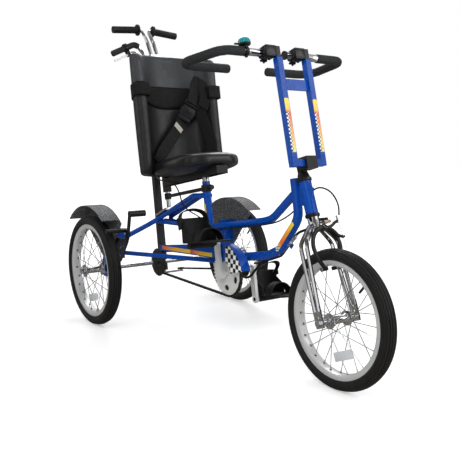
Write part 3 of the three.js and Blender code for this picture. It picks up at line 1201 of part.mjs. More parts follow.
function parkingBracket() {
  const plate = sidePlate([[parking.plateFrontX, parking.plateTop], [parking.plateFrontX,
    parking.plateBottom],
    [parking.lowX, parking.lowHeight], [parking.noseX, parking.noseHeight], [parking.tipX, parking.tipFoot],
    [parking.tipX, parking.tipTop], [parking.finger, parking.tipTop], [parking.finger, parking.fingerFoot],
    [parking.noseX, parking.plateTop]], parkingY, parkingY + parking.plateThickness);
  const holes = parking.holes.map(([x, z, radius]) => crossRod(x, z, parkingY - fit.overrun,
    parkingY + parking.plateThickness + fit.overrun, radius, sides.medium));
  return cut(plate, ...holes, crossRod(parking.leverX, parking.leverHeight, parkingY * 2, 0,
    parking.pivotRadius + fit.gap, sides.medium));
}

// Lever with its pivot pin through the bracket, the grip above and the bar that presses on the tyre.
function parkingLever() {
  const inner = parkingY + parking.plateThickness + fit.gap;
  const outer = inner + parking.armThickness;
  return join(
    sidePlate(ribbon([[parking.gripX, parking.gripHeight], [parking.leverX, parking.leverHeight],
      [parking.shoeX, parking.shoeHeight]], parking.armWidth), inner, outer),
    crossRod(parking.leverX, parking.leverHeight, parkingY - fit.gap, outer, parking.pivotRadius,
      sides.medium),
    crossRod(parking.shoeX, parking.shoeHeight, -parking.shoeEndY, outer, parking.shoeRadius, sides.medium),
    crossRod(parking.gripX, parking.gripHeight, inner, inner + parking.gripLength, parking.gripRadius,
      sides.large),
  );
}

// Rod of the steering link: a slotted eye on the pin of an arm, and a wire that runs into the conduit.
function linkRod(plane, pinRise, forward, sideY, direction, slotX, slotY, rodLength) {
  const [slotLong, slotWide] = [link.pinRadius + slotX, link.pinRadius + slotY];
  const wideMiddle = sideY - (slotY - link.slotSpare) / 2;
  const wide = (slotWide + link.pinRadius + link.slotSpare) / 2;
  const body = plane.box(pinRise, forward, wideMiddle, [(slotLong + link.eyeWall) * 2,
    (wide + link.eyeWall) * 2,
    link.eyeHeight]);
  const slot = plane.box(pinRise, forward, wideMiddle, [slotLong * 2, wide * 2, link.eyeHeight * 2]);
  const start = plane.point(pinRise, forward + direction * (slotLong + link.eyeWall / 2), sideY);
  const shoulder = plane.point(pinRise, forward + direction * rodLength, sideY);
  const tip = plane.point(pinRise, forward + direction * (rodLength + link.wireGap + link.wireInside), sideY);
  return join(cut(body, slot), rod(start, shoulder, link.rodRadius, sides.medium), rod(start, tip,
    link.wireRadius, sides.small));
}

const frontPinRise = -link.armDrop - link.pinRise / 2 - link.armThickness / 4;
const rearPinRise = -post.armDrop - post.armThickness / 2 + post.pinRise / 2 + post.armThickness / 4;

// Conduit from the rear rod to the front rod, clipped to the main tube, with a bore for each wire.
function steeringConduit() {
  const forward = link.armForward / 2;
  const frontEnd = link.frontRod + link.wireGap;
  const rearEnd = link.rearRod + link.wireGap;
  const onFront = (distance) => head.point(frontPinRise, forward - distance, link.armY);
  const onRear = (distance) => rearPost.point(rearPinRise, distance, post.armLength);
  const route = rounded([
    onRear(rearEnd), onRear(rearEnd + link.straight), at(link.wheelX, link.insideY, link.wheelHeight),
    at(link.underX, link.insideY, link.underHeight), at(link.lowX, link.insideY, link.lowHeight),
    at(link.midX, link.insideY, link.midHeight), onFront(frontEnd + link.straight), onFront(frontEnd),
  ], tubes.bendRadius);
  let body = sweep(route, link.conduitRadius, sides.small);
  for (const [x, z] of [[link.lowX, link.lowHeight], [link.midX, link.midHeight]]) {
    body = body.add(block(at(x, (link.insideY + tubes.main) / 2, z), [link.clipRadius * 2,
      link.insideY - tubes.main,
      link.clipRadius * 2]));
  }
  return cut(body, rod(onFront(frontEnd - fit.overrun), onFront(frontEnd + link.boreDepth),
    link.wireRadius + fit.gap, sides.small),
  rod(onRear(rearEnd - fit.overrun), onRear(rearEnd + link.boreDepth),
    link.wireRadius + fit.gap, sides.small));
}

// Coil spring from the frame's tab towards the fork, one unbroken wire whose rear end meets the tab's side.
function centringSpring() {
  const rearEnd = at(spring.rearX, spring.rearY, spring.rearHeight);
  const frontEnd = at(spring.frontX, spring.frontY, spring.frontHeight);
  const along = frontEnd.clone().sub(rearEnd);
  const length = along.length();
  along.normalize();
  const across = along.clone().cross(Y).normalize();
  const other = along.clone().cross(across);
  const straight = spring.wireRadius * 2;
  const points = [];
  const total = spring.curls * spring.stepsPerCurl;
  for (let step = 0; step <= total; step += 1) {
    const angle = (2 * Math.PI * step) / spring.stepsPerCurl;
    const reach = spring.coilRadius - spring.wireRadius;
    points.push(rearEnd.clone().addScaledVector(along, straight + ((length - straight * 2) * step) / total)
      .addScaledVector(across, reach * Math.cos(angle)).addScaledVector(other, reach * Math.sin(angle)));
  }
  const lead = points[0].clone().addScaledVector(along, -straight);
  const foot = at(lead.x, -spring.tabThickness / 2 - fit.gap, lead.z);
  const tail = points[total].clone().addScaledVector(along, straight);
  const spaces = points.slice(0, -spring.stepsPerCurl).flatMap((point, step) =>
    points.slice(step + spring.stepsPerCurl).map((far) => point.distanceTo(far)));
  const gap = Math.min(...spaces) - spring.wireRadius * 2;
  console.log(`centring_spring: least gap to itself ${gap.toFixed(2)} mm`);
  return sweep([foot, lead, ...points, tail], spring.wireRadius, spring.sides);
}

piece("frame", frame(), "paint");
piece("crank_hanger", crankHanger(), "black_steel");
piece("front_tyre", tyre(frontCentre), "rubber");
piece("front_rim", rim(frontCentre), "alloy");
piece("front_hub_spokes", spokedHub(frontCentre, fork.axleRadius + fit.gap), "chrome");
for (const [side, name] of [[1, "left"], [-1, "right"]]) {
  piece(`${name}_tyre`, tyre(rearCentre(side)), "rubber");
  piece(`${name}_rim`, rim(rearCentre(side)), "alloy");
  piece(`${name}_hub_spokes`, spokedHub(rearCentre(side), rear.axleRadius + fit.gap), "chrome");
  piece(`${name}_axle_bearing`, axleBearing(side), "plastic");
  piece(`${name}_fender`, fenderOf(side), "moulded");
  piece(`${name}_crank`, crankArm(side), "alloy");
  piece(`${name}_foot_plate`, footPlate(side), "plastic");
  piece(`${name}_bar_clamp`, barClamp(side), "black_steel");
  piece(`${name}_loop_bar`, loopBar(side), "chrome");
  piece(`${name}_foam_grip`, foamGrip(side), "foam");
  piece(`${name}_caliper_arm`, caliperArm(side), "black_steel");
  piece(`${name}_push_grip`, pushGrip(side), "rubber");
}
piece("fork", frontFork(), "chrome");
piece("front_axle", frontAxle(), "chrome");
piece("headset", headset(), "black_steel");
piece("stem", barStem(), "black_steel");
piece("column_frame", columnFrame(), "paint");
const bellSet = bellPieces();
piece("bell", bellSet.dome, "teal");
piece("bell_lever", bellSet.lever, "plastic");
piece("drive_axle", driveAxle(), "chrome");
piece("drive_sprocket", driveSprocket(), "black_steel");
piece("chainring", chainring(), "alloy");
piece("chain", chain(), "oiled");
piece("chain_guard", chainGuard(), "paint");
piece("seat_post", seatPost(), "chrome");
piece("seat_frame", seatFrame(), "black_steel");
piece("seat_clamp", seatClamp(), "black_steel");
piece("seat_cushion", seatCushion(), "vinyl");
piece("back_cushion", backCushion(), "vinyl");
piece("back_strut", backStrut(), "chrome");
piece("push_handle", pushHandle(), "chrome");
piece("steering_post", steeringPost(), "black_steel");
piece("steering_shaft", steeringShaft(), "chrome");
piece("tiller_foam", tillerFoam(), "foam");
const brakeSet = tillerClamp();
piece("brake_lever_clamp", brakeSet.clamp, "plastic");
piece("brake_lever", brakeSet.lever, "alloy");
piece("parking_brake_bracket", parkingBracket(), "black_steel");
piece("parking_brake_lever", parkingLever(), "black_steel");
piece("steering_conduit", steeringConduit(), "plastic");
piece("front_link_rod", linkRod(head, frontPinRise, link.armForward / 2, link.armY, -1, link.frontSlotX,
  link.frontSlotY, link.frontRod), "alloy");
piece("rear_link_rod", linkRod(rearPost, rearPinRise, 0, post.armLength, 1, link.rearSlotX, link.rearSlotY,
  link.rearRod), "alloy");
piece("centring_spring", centringSpring(), "chrome");

export default group;
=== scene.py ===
"""Adaptive tricycle: finishes, wheels, chain, cushions, harness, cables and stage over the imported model."""

from __future__ import annotations

import json
import logging
import math
from dataclasses import dataclass
from enum import Enum
from typing import Sequence

import bmesh
import bpy
from mathutils import Matrix, Vector

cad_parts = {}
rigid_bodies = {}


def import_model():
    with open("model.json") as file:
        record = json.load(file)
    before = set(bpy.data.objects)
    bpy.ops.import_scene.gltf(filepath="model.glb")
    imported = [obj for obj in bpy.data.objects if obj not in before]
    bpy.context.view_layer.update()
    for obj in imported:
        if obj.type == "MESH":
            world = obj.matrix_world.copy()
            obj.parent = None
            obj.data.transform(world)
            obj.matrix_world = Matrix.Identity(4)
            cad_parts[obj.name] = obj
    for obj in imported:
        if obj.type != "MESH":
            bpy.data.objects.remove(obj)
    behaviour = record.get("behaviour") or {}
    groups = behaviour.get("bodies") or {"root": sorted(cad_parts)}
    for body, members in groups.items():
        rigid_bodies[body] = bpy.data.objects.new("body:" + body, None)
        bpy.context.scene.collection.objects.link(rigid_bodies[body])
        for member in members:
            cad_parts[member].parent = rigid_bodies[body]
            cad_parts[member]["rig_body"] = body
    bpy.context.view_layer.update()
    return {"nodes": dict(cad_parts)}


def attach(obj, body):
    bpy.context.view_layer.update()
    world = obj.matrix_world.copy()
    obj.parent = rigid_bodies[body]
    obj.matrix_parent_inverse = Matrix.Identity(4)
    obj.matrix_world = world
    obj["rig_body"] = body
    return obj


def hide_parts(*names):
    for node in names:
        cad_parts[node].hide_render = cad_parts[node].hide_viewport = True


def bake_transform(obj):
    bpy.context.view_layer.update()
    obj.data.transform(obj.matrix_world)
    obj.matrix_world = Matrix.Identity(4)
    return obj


Mesh = bmesh.types.BMesh
Piece = bpy.types.Object
Material = bpy.types.Material
Socket = bpy.types.NodeSocket
Pair = tuple[float, float]
Triple = tuple[float, float, float]

LOG = logging.getLogger("tricycle")
MM = 0.001
REAR_AXLE_X = -0.923
HALF_TRACK = 0.321
AXLE_HEIGHT = 0.199
REAR_AXLE = Vector((REAR_AXLE_X, 0, AXLE_HEIGHT))
LEFTWARDS = Vector((0, 1, 0))
BLUE = ("004aaa", "003f98")
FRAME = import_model()


def point(x: float, y: float, z: float) -> Vector:
    """Returns the point, in metres, of millimetres measured forwards from the rear axle."""
    return Vector((x * MM + REAR_AXLE_X, y * MM, z * MM))


def turned(first: Vector, second: Vector, third: Vector) -> Matrix:
    """Returns the turn that lays x, y and z along three directions."""
    return Matrix((first, second, third)).transposed().to_4x4()


def laid(across: Vector, along: Vector) -> Matrix:
    """Returns the turn of a piece laid on a face: x across it, y along it and z out, ahead or to the right."""
    out = across.cross(along).normalized()
    return turned(across, along, out if out.x > out.y else -out)


def around(degrees: float) -> Vector:
    """Returns the direction at an angle up from straight ahead."""
    return Vector((math.cos(math.radians(degrees)), 0, math.sin(math.radians(degrees))))


@dataclass(frozen=True)
class Lean:
    """A point, and directions ahead, to the left and up that lean back with a tube."""

    foot: Vector
    degrees: float

    @property
    def ahead(self) -> Vector:
        """Returns the direction ahead, square to the lean."""
        return around(self.degrees)

    @property
    def up(self) -> Vector:
        """Returns the direction up along the lean."""
        return Vector((-self.ahead.z, 0, self.ahead.x))

    @property
    def turn(self) -> Matrix:
        """Returns the turn of the three directions."""
        return turned(self.ahead, LEFTWARDS, self.up)

    def at(self, ahead: float, side: float, rise: float) -> Vector:
        """Returns the point at three distances from the foot."""
        return self.foot + self.ahead * ahead + self.up * rise + LEFTWARDS * side


COLUMNS = Lean(point(778.5, 0, 614), 15.9)
HEAD = Lean(Vector((-0.12075, 0, 0.479)), 22.2)
SEAT_TUBE = Lean(point(247.7, 0, 529.6), 11.5)
CRANK = point(448, 0, 243)
WHEELS = {"front": ("front_wheel", Vector((0, 0, AXLE_HEIGHT))),
          "left": ("left_wheel", REAR_AXLE + LEFTWARDS * HALF_TRACK),
          "right": ("drive", REAR_AXLE - LEFTWARDS * HALF_TRACK)}


class Surface(Enum):
    """Kinds of fine relief that a finish can carry."""

    PLAIN = "plain"
    ORANGE_PEEL = "orange peel"
    LEATHER = "leather"
    CELLS = "foam cells"
    MOULDED = "moulded"
    BRUSHED = "brushed"
    WEAVE = "weave"


@dataclass(frozen=True)
class Finish:
    """One finish: its colours, gloss and relief."""

    name: str
    slot: str
    color: str
    shade: str
    metallic: float = 0.0
    roughness: float = 0.5
    spread: float = 0.06
    surface: Surface = Surface.PLAIN
    scale: float = 300.0
    depth: float = 0.1
    coat: float = 0.0
    patches: float = 14.0
    gloss: float = 0.5
    coat_roughness: float = 0.06

    def material(self) -> Material:
        """Returns the material of this finish, made on its first use."""
        known = bpy.data.materials.get(self.name)
        if known:
            return known
        paint = Paint(self.name)
        cloud, wear = paint.noise(self.patches, 5.0), paint.noise(self.patches * 6.0, 3.0)
        paint.look({"Base Color": paint.between(cloud, linear(self.color), linear(self.shade)),
                    "Roughness": paint.span(wear, self.roughness - self.spread, self.roughness + self.spread),
                    "Metallic": self.metallic, "Coat Weight": self.coat, "Coat Roughness": self.coat_roughness,
                    "Specular IOR Level": self.gloss})
        paint.relief(self.surface, self.scale, self.depth)
        return paint.material


def linear(code: str) -> tuple[float, float, float, float]:
    """Turns a written colour into the values that a shader takes.

    Args:
        code: six hexadecimal digits of red, green and blue.

    Returns:
        The linear colour with an alpha of one.
    """
    values = [int(code[i:i + 2], 16) / 255 for i in (0, 2, 4)]
    return (*[v / 12.92 if v <= 0.04045 else ((v + 0.055) / 1.055) ** 2.4 for v in values], 1.0)


class Nodes:
    """A node tree under construction."""

    def __init__(self, tree: bpy.types.NodeTree) -> None:
        """Takes up a tree."""
        self.tree = tree

    def plug(self, node: bpy.types.Node, values: dict[str | int, object]) -> None:
        """Gives a node's inputs their values, or the sockets that feed them."""
        for name, value in values.items():
            if isinstance(value, Socket):
                self.tree.links.new(value, node.inputs[name])
            else:
                node.inputs[name].default_value = value

    def node(self, kind: str, inputs: dict[str | int, object] | None = None,
             **values: object) -> bpy.types.Node:
        """Adds a node.

        Args:
            kind: the node's type.
            inputs: what its inputs are given.
            **values: attributes to set on it first.

        Returns:
            The new node.
        """
        made = self.tree.nodes.new(kind)
        for name, value in values.items():
            setattr(made, name, value)
        self.plug(made, inputs or {})
        return made


class Paint(Nodes):
    """A material under construction, with its main shader."""

    NOISE_LOW, NOISE_HIGH = 0.3, 0.7
    BUMP_REACH = 0.4

    def __init__(self, name: str) -> None:
        """Starts a material of a given name, whose patterns lie on Object coordinates."""
        self.material = bpy.data.materials.new(name)
        self.material.use_nodes = True
        super().__init__(self.material.node_tree)
        self.shader = self.tree.nodes["Principled BSDF"]
        self.place = self.node("ShaderNodeTexCoord").outputs["Object"]

    def look(self, values: dict[str | int, object]) -> None:
        """Sets the main shader's inputs."""
        self.plug(self.shader, values)

    def mapped(self, origin: Vector) -> Socket:
        """Returns the socket of a surface's place measured from a point."""
        return self.node("ShaderNodeMapping", {"Vector": self.place, "Location": -origin}).outputs[0]

    def noise(self, scale: float, detail: float, stretch: Sequence[float] = (1, 1, 1)) -> Socket:
        """Returns the socket of a cloudy pattern.

        Args:
            scale: patches to the metre.
            detail: how fine its smaller patches go.
            stretch: what each length is multiplied by first.
        """
        place = self.node("ShaderNodeMapping", {"Vector": self.place, "Scale": stretch}).outputs[0]
        return self.node("ShaderNodeTexNoise", {"Scale": scale, "Detail": detail, "Vector": place}).outputs["Fac"]

    def math(self, operation: str, first: object, second: object = 0.0) -> Socket:
        """Works out one sum.

        Args:
            operation: the sum's name.
            first: a socket or a number.
            second: a socket or a number.

        Returns:
            The socket with its result.
        """
        return self.node("ShaderNodeMath", {0: first, 1: second}, operation=operation).outputs[0]

    def along(self, origin: Vector, direction: Sequence[float]) -> Socket:
        """Returns the socket of how far a surface lies from a point along a direction."""
        return self.node("ShaderNodeVectorMath", {0: self.mapped(origin), 1: direction},
                         operation="DOT_PRODUCT").outputs["Value"]

    def span(self, factor: Socket, low: float, high: float) -> Socket:
        """Returns the socket of a noise spread from low to high."""
        return self.node("ShaderNodeMapRange", {"From Min": self.NOISE_LOW, "From Max": self.NOISE_HIGH,
                                                "To Min": low, "To Max": high, "Value": factor}).outputs[0]

    def between(self, factor: object, first: object, second: object) -> Socket:
        """Mixes two colours.

        Args:
            factor: a socket or a number from zero to one.
            first: the colour at zero, a socket or four numbers.
            second: the colour at one.

        Returns:
            The socket with the mixed colour.
        """
        return self.node("ShaderNodeMix", {0: factor, 6: first, 7: second}, data_type="RGBA").outputs[2]

    def steps(self, factor: Socket, stops: Sequence[tuple[float, str]]) -> Socket:
        """Returns the socket of a colour ramp with a written colour at each stop."""
        ramp = self.node("ShaderNodeValToRGB", {"Fac": factor})
        while len(ramp.color_ramp.elements) < len(stops):
            ramp.color_ramp.elements.new(0.5)
        for element, (place, code) in zip(ramp.color_ramp.elements, stops):
            element.position = place
            element.color = linear(code)
        return ramp.outputs["Color"]

    def relief(self, surface: Surface, scale: float, depth: float) -> None:
        """Adds fine relief.

        Args:
            surface: the kind of relief.
            scale: its grains to the metre.
            depth: how strongly it shows.
        """
        if surface is Surface.PLAIN:
            return
        if surface in (Surface.LEATHER, Surface.CELLS):
            height = self.node("ShaderNodeTexVoronoi", {"Scale": scale, "Vector": self.place},
                               feature="SMOOTH_F1").outputs["Distance"]
            if surface is Surface.LEATHER:
                height = self.math("ADD", height, self.math("MULTIPLY", self.noise(scale * 0.25, 4.0), 0.7))
        elif surface is Surface.WEAVE:
            height = self.math("MULTIPLY", self.wave(scale, "X"), self.wave(scale * 1.4, "Z"))
        elif surface is Surface.BRUSHED:
            height = self.noise(scale, 3.0, (1.0, 8.0, 1.0))
        else:
            height = self.noise(scale, 4.0)
        bump = self.node("ShaderNodeBump", {"Strength": depth, "Distance": self.BUMP_REACH / scale, "Height": height})
        self.look({"Normal": bump.outputs["Normal"]})

    def wave(self, scale: float, direction: str) -> Socket:
        """Returns the socket of straight even bands across a direction."""
        return self.node("ShaderNodeTexWave", {"Scale": scale, "Vector": self.place},
                         bands_direction=direction).outputs["Fac"]


@dataclass(frozen=True)
class Palette:
    """Every finish of the tricycle."""

    paint: Finish = Finish("royal_blue_paint", "paint", *BLUE, 0.0, 0.28, 0.05, Surface.ORANGE_PEEL, 260, 0.05, 0.1,
                           gloss=0.3)
    chrome: Finish = Finish("chrome_plate", "chrome", "e3e5e8", "cfd2d6", 1.0, 0.09, 0.04)
    alloy: Finish = Finish("satin_alloy", "alloy", "f2f2f0", "e4e4e2", 0.25, 0.34, 0.04, Surface.BRUSHED, 400, 0.02)
    rim: Finish = Finish("silver_rim", "alloy", "e4e5e5", "d2d4d4", 0.45, 0.34, 0.05, Surface.BRUSHED, 300, 0.04)
    black_steel: Finish = Finish("black_powder_coat", "black_steel", "0e0f10", "161718", 0.1, 0.4, 0.06,
                                 Surface.MOULDED, 900, 0.12, 0.2)
    satin_steel: Finish = Finish("satin_grey_steel", "black_steel", "3c3e41", "333538", 0.2, 0.42, 0.05,
                                 Surface.MOULDED, 900, 0.1, 0.1)
    brass: Finish = Finish("warm_plated_steel", "alloy", "bdb0a0", "a79a8a", 0.9, 0.25, 0.05)
    dark_steel: Finish = Finish("dark_steel", "oiled", "3a3a3b", "262627", 0.8, 0.35, 0.06)
    oiled: Finish = Finish("oiled_chain_steel", "oiled", "55504a", "2e2b28", 0.85, 0.42, 0.12, Surface.MOULDED, 900,
                           0.1)
    teal: Finish = Finish("teal_enamel", "teal", "12a3ab", "0d8d97", 0.3, 0.2, 0.04, Surface.ORANGE_PEEL, 300, 0.03,
                          1.0)
    rubber: Finish = Finish("tyre_rubber", "rubber", "101011", "1b1b1b", 0.0, 0.52, 0.07, Surface.MOULDED, 1200, 0.2)
    plastic: Finish = Finish("black_plastic", "plastic", "101112", "191a1b", 0.0, 0.42, 0.06, Surface.MOULDED, 1500,
                             0.1)
    strap_rubber: Finish = Finish("soft_black_rubber", "plastic", "0b0b0c", "151516", 0.0, 0.6, 0.08,
                                  Surface.MOULDED, 700, 0.25)
    clear: Finish = Finish("clear_reflector", "plastic", "d9dcde", "c6cacd", 0.0, 0.15, 0.04, Surface.CELLS, 500,
                           0.3, 0.8)
    foam: Finish = Finish("grey_foam", "foam", "2c2e30", "232527", 0.0, 0.72, 0.05, Surface.CELLS, 900, 0.3)
    vinyl: Finish = Finish("charcoal_vinyl", "vinyl", "151618", "1e1f21", 0.0, 0.33, 0.05, Surface.LEATHER, 620,
                           0.22, 0.1)
    webbing: Finish = Finish("black_webbing", "plastic", "0e0f10", "17181a", 0.0, 0.66, 0.05, Surface.WEAVE, 500,
                             0.35)
    band: Finish = Finish("black_band_cloth", "vinyl", "070708", "0e0e0f", 0.0, 0.7, 0.05, Surface.WEAVE, 700, 0.3)
    pale: Finish = Finish("pale_woven_patch", "vinyl", "c9c4bb", "b2ada5", 0.0, 0.7, 0.05, Surface.WEAVE, 900, 0.2)


FINISHES = Palette()


class Bench:
    """Turns bmeshes into pieces that ride on the model."""

    @staticmethod
    def make(shape: Mesh, name: str, material: Material) -> Piece:
        """Makes an object of a bmesh.

        Args:
            shape: the mesh, which is freed.
            name: the object's name.
            material: its material.

        Returns:
            The new object, in the scene.
        """
        mesh = bpy.data.meshes.new(name)
        shape.to_mesh(mesh)
        shape.free()
        mesh.materials.append(material)
        made = bpy.data.objects.new(name, mesh)
        bpy.context.scene.collection.objects.link(made)
        return made

    @staticmethod
    def emit(shape: Mesh, name: str, finish: Finish | Material, body: str | None, replaced: Sequence[str] = (),
             angle: float = 35.0, slot: str | None = None, outwards: bool = True) -> Piece:
        """Makes a piece of a bmesh and hangs it on its body.

        Args:
            shape: the mesh, which is freed.
            name: the piece's name.
            finish: its finish or its own material.
            body: the body that it moves with, or None where it rides on none.
            replaced: the solids that it stands for.
            angle: faces that meet more sharply than this keep an edge, in degrees.
            slot: a material slot; it is not used.
            outwards: whether its faces are turned outwards first.

        Returns:
            The new object.
        """
        if outwards:
            bmesh.ops.recalc_face_normals(shape, faces=shape.faces)
        made = Bench.make(shape, name, finish.material() if isinstance(finish, Finish) else finish)
        made.data.shade_smooth()
        if body:
            made.data.set_sharp_from_angle(angle=math.radians(angle))
        slot or getattr(finish, "slot", "plastic")
        if replaced:
            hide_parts(*replaced)
        if body:
            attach(made, body)
        LOG.info("made %s", name)
        return made

    @staticmethod
    def refined(node: str, finish: Finish | Material, slot: str | None = None, angle: float = 38.0) -> Piece:
        """Makes a finished copy of a solid in its place.

        Args:
            node: the solid.
            finish: its finish or its own material.
            slot: a material slot; it is not used.
            angle: faces that meet more sharply than this keep an edge, in degrees.

        Returns:
            The copy.
        """
        return Bench.emit(Bench.copied(node), f"{node}_finished", finish, Bench.body_of(node), (node,), angle, slot,
                          False)

    @staticmethod
    def copied(node: str) -> Mesh:
        """Returns a merged copy of a solid's mesh with its flat faces whole."""
        shape = bmesh.new()
        shape.from_mesh(FRAME["nodes"][node].data)
        bmesh.ops.remove_doubles(shape, verts=shape.verts, dist=1e-6)
        bmesh.ops.dissolve_limit(shape, angle_limit=math.radians(0.5), verts=shape.verts, edges=shape.edges)
        return shape

    @staticmethod
    def body_of(node: str) -> str:
        """Returns the body that a solid moves with."""
        return FRAME["nodes"][node]["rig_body"]

    @staticmethod
    def modify(made: Piece, name: str, kind: str, applied: bool = False, **values: object) -> None:
        """Adds a modifier.

        Args:
            made: the object that it goes on.
            name: the modifier's name.
            kind: its type.
            applied: whether it is applied at once.
            **values: attributes to set on it.
        """
        added = made.modifiers.new(name, kind)
        for key, value in values.items():
            setattr(added, key, value)
        if applied:
            Bench.apply(made, name)

    @staticmethod
    def apply(made: Piece, name: str) -> None:
        """Applies the modifier of a given name."""
        with bpy.context.temp_override(object=made, active_object=made, selected_objects=[made]):
            bpy.ops.object.modifier_apply(modifier=name)

    @staticmethod
    def ease(made: Piece, width: float, sharpest: float = 50.0, harden: bool = False) -> None:
        """Rounds the edges of a piece.

        Args:
            made: the piece.
            width: how wide the rounding is.
            sharpest: edges that turn more than this are rounded, in degrees.
            harden: whether the faces beside them stay flat in their shading.
        """
        Bench.modify(made, "eased_edges", "BEVEL", width=width, segments=2, limit_method="ANGLE",
                     angle_limit=math.radians(sharpest), harden_normals=harden)

    @staticmethod
    def even(made: Piece, cell: float) -> None:
        """Cuts a closed piece into even faces of a given size."""
        Bench.modify(made, "even_faces", "REMESH", True, mode="VOXEL", voxel_size=cell)

    @staticmethod
    def soften(made: Piece, factor: float, rounds: int) -> None:
        """Eases a piece's corners by a share, a number of times."""
        Bench.modify(made, "soft_corners", "SMOOTH", True, factor=factor, iterations=rounds)

    @staticmethod
    def tube(path: Sequence[Vector], radius: float, sides: int, steps: int) -> Mesh:
        """Sweeps a circle along a smooth line.

        Args:
            path: points on the line.
            radius: the radius of the circle.
            sides: the sides of the circle.
            steps: rings from one point to the next.

        Returns:
            A closed tube.
        """
        line = Bench.smooth_line(path, steps)
        shape = bmesh.new()
        rings = []
        normal = None
        for index, place in enumerate(line):
            ahead = (line[min(index + 1, len(line) - 1)] - line[max(index - 1, 0)]).normalized()
            if normal is None:
                normal = ahead.orthogonal().normalized()
            normal = (normal - ahead * normal.dot(ahead)).normalized()
            place = Matrix.Translation(place) @ turned(normal, ahead.cross(normal), ahead)
            ring = bmesh.ops.create_circle(shape, segments=sides, radius=radius, matrix=place)["verts"]
            rings.append((ring, list({edge for vert in ring for edge in vert.link_edges})))
        for (_, first), (_, second) in zip(rings, rings[1:]):
            bmesh.ops.bridge_loops(shape, edges=first + second)
        for ring, _ in (rings[0], rings[-1]):
            bmesh.ops.contextual_create(shape, geom=ring)
        return shape

    @staticmethod
    def smooth_line(path: Sequence[Vector], steps: int) -> list[Vector]:
        """Returns points on the smooth curve through a path."""
        padded = [path[0] * 2 - path[1], *path, path[-1] * 2 - path[-2]]
        line = []
        for a, b, c, d in zip(padded, padded[1:], padded[2:], padded[3:]):
            for step in range(steps):
                t = step / steps
                line.append(0.5 * (2 * b + (c - a) * t + (2 * a - 5 * b + 4 * c - d) * t ** 2
                                   + (3 * b - a - 3 * c + d) * t ** 3))
        line.append(Vector(path[-1]))
        return line

    @staticmethod
    def length(line: Sequence[Vector]) -> float:
        """Returns the length of a line of points."""
        return sum((b - a).length for a, b in zip(line, line[1:]))

    @staticmethod
    def woven(shape: Mesh, rows: Sequence[Sequence[Vector]], closed: bool = False) -> None:
        """Adds a sheet of faces through rows of points.

        Args:
            shape: the mesh to add to.
            rows: the points, row by row.
            closed: whether the last row meets the first.
        """
        verts = [[shape.verts.new(place) for place in row] for row in rows]
        for first, second in zip(verts, verts[1:] + verts[:closed]):
            for part in range(len(first) - 1):
                shape.faces.new((first[part], second[part], second[part + 1], first[part + 1]))

    @staticmethod
    def strap(name: str, line: Sequence[Vector], across: Sequence[Vector], width: float,
              thickness: float = 0.0022, body: str = "seat") -> None:
        """Makes a flat strap of webbing.

        Args:
            name: its name.
            line: points on its middle line.
            across: the direction of its width at each point.
            width: how wide it is.
            thickness: how thick it is.
            body: the body that it rides on.
        """
        shape = bmesh.new()
        Bench.woven(shape, [[place + direction.normalized() * width / 2 * share for share in (-1, -0.9, 0, 0.9, 1)]
                            for place, direction in zip(Bench.smooth_line(line, 6), Bench.smooth_line(across, 6))])
        made = Bench.emit(shape, name, FINISHES.webbing, body, (), 60)
        Bench.modify(made, "webbing_thickness", "SOLIDIFY", thickness=thickness, offset=0.0)

    @staticmethod
    def lathe(shape: Mesh, profile: Sequence[Pair], centre: Vector, steps: int,
              axis: Vector = LEFTWARDS) -> None:
        """Spins a closed profile once about an axis through a point.

        Args:
            shape: the mesh to add to.
            profile: distances from the axis and places along it, in metres.
            centre: a point on the axis.
            steps: facets to the turn.
            axis: the direction of the axis.
        """
        out = axis.orthogonal().normalized()
        points = [shape.verts.new(centre + out * radius + axis * along) for radius, along in profile]
        edges = [shape.edges.new(pair) for pair in zip(points, points[1:] + points[:1])]
        bmesh.ops.spin(shape, geom=points + edges, cent=centre, axis=axis, angle=math.tau, steps=steps,
                       use_merge=True)

    @staticmethod
    def mirrored(half: Sequence[Pair]) -> list[Pair]:
        """Returns a closed profile from the half of it on the left."""
        return [*half, *[(radius, -along) for radius, along in reversed(half)]]

    @staticmethod
    def collar(inner: float, outer: float, half: float, chamfer: float) -> list[Pair]:
        """Returns the profile of a ring with chamfered outer edges, from its radii and half its width."""
        return Bench.mirrored([(inner, half), (outer - chamfer, half), (outer, half - chamfer)])

    @staticmethod
    def bar(shape: Mesh, start: Vector, end: Vector, radius: float, sides: int = 8,
            end_radius: float | None = None) -> None:
        """Adds a round bar from one point to another.

        Args:
            shape: the mesh to add to.
            start: the middle of its first end.
            end: the middle of its last end.
            radius: its radius at the start.
            sides: its sides.
            end_radius: its radius at the end, where that differs.
        """
        along = end - start
        place = Matrix.Translation((start + end) / 2) @ along.to_track_quat("Z", "Y").to_matrix().to_4x4()
        bmesh.ops.create_cone(shape, cap_ends=True, segments=sides, radius1=radius, depth=along.length,
                              radius2=radius if end_radius is None else end_radius, matrix=place)

    @staticmethod
    def block(shape: Mesh, middle: Vector, turn: Matrix, size: Sequence[float], bevel: float = 0.0,
              segments: int = 2) -> None:
        """Adds a box with rounded edges.

        Args:
            shape: the mesh to add to.
            middle: where its middle lies.
            turn: how it is turned.
            size: its three lengths.
            bevel: the radius of its edges.
            segments: facets to each rounded edge.
        """
        place = Matrix.Translation(middle) @ turn @ Matrix.Diagonal((*size, 1.0))
        made = bmesh.ops.create_cube(shape, size=1.0, matrix=place)["verts"]
        if bevel:
            Bench.rounded(shape, list({edge for vert in made for edge in vert.link_edges}), bevel, segments)

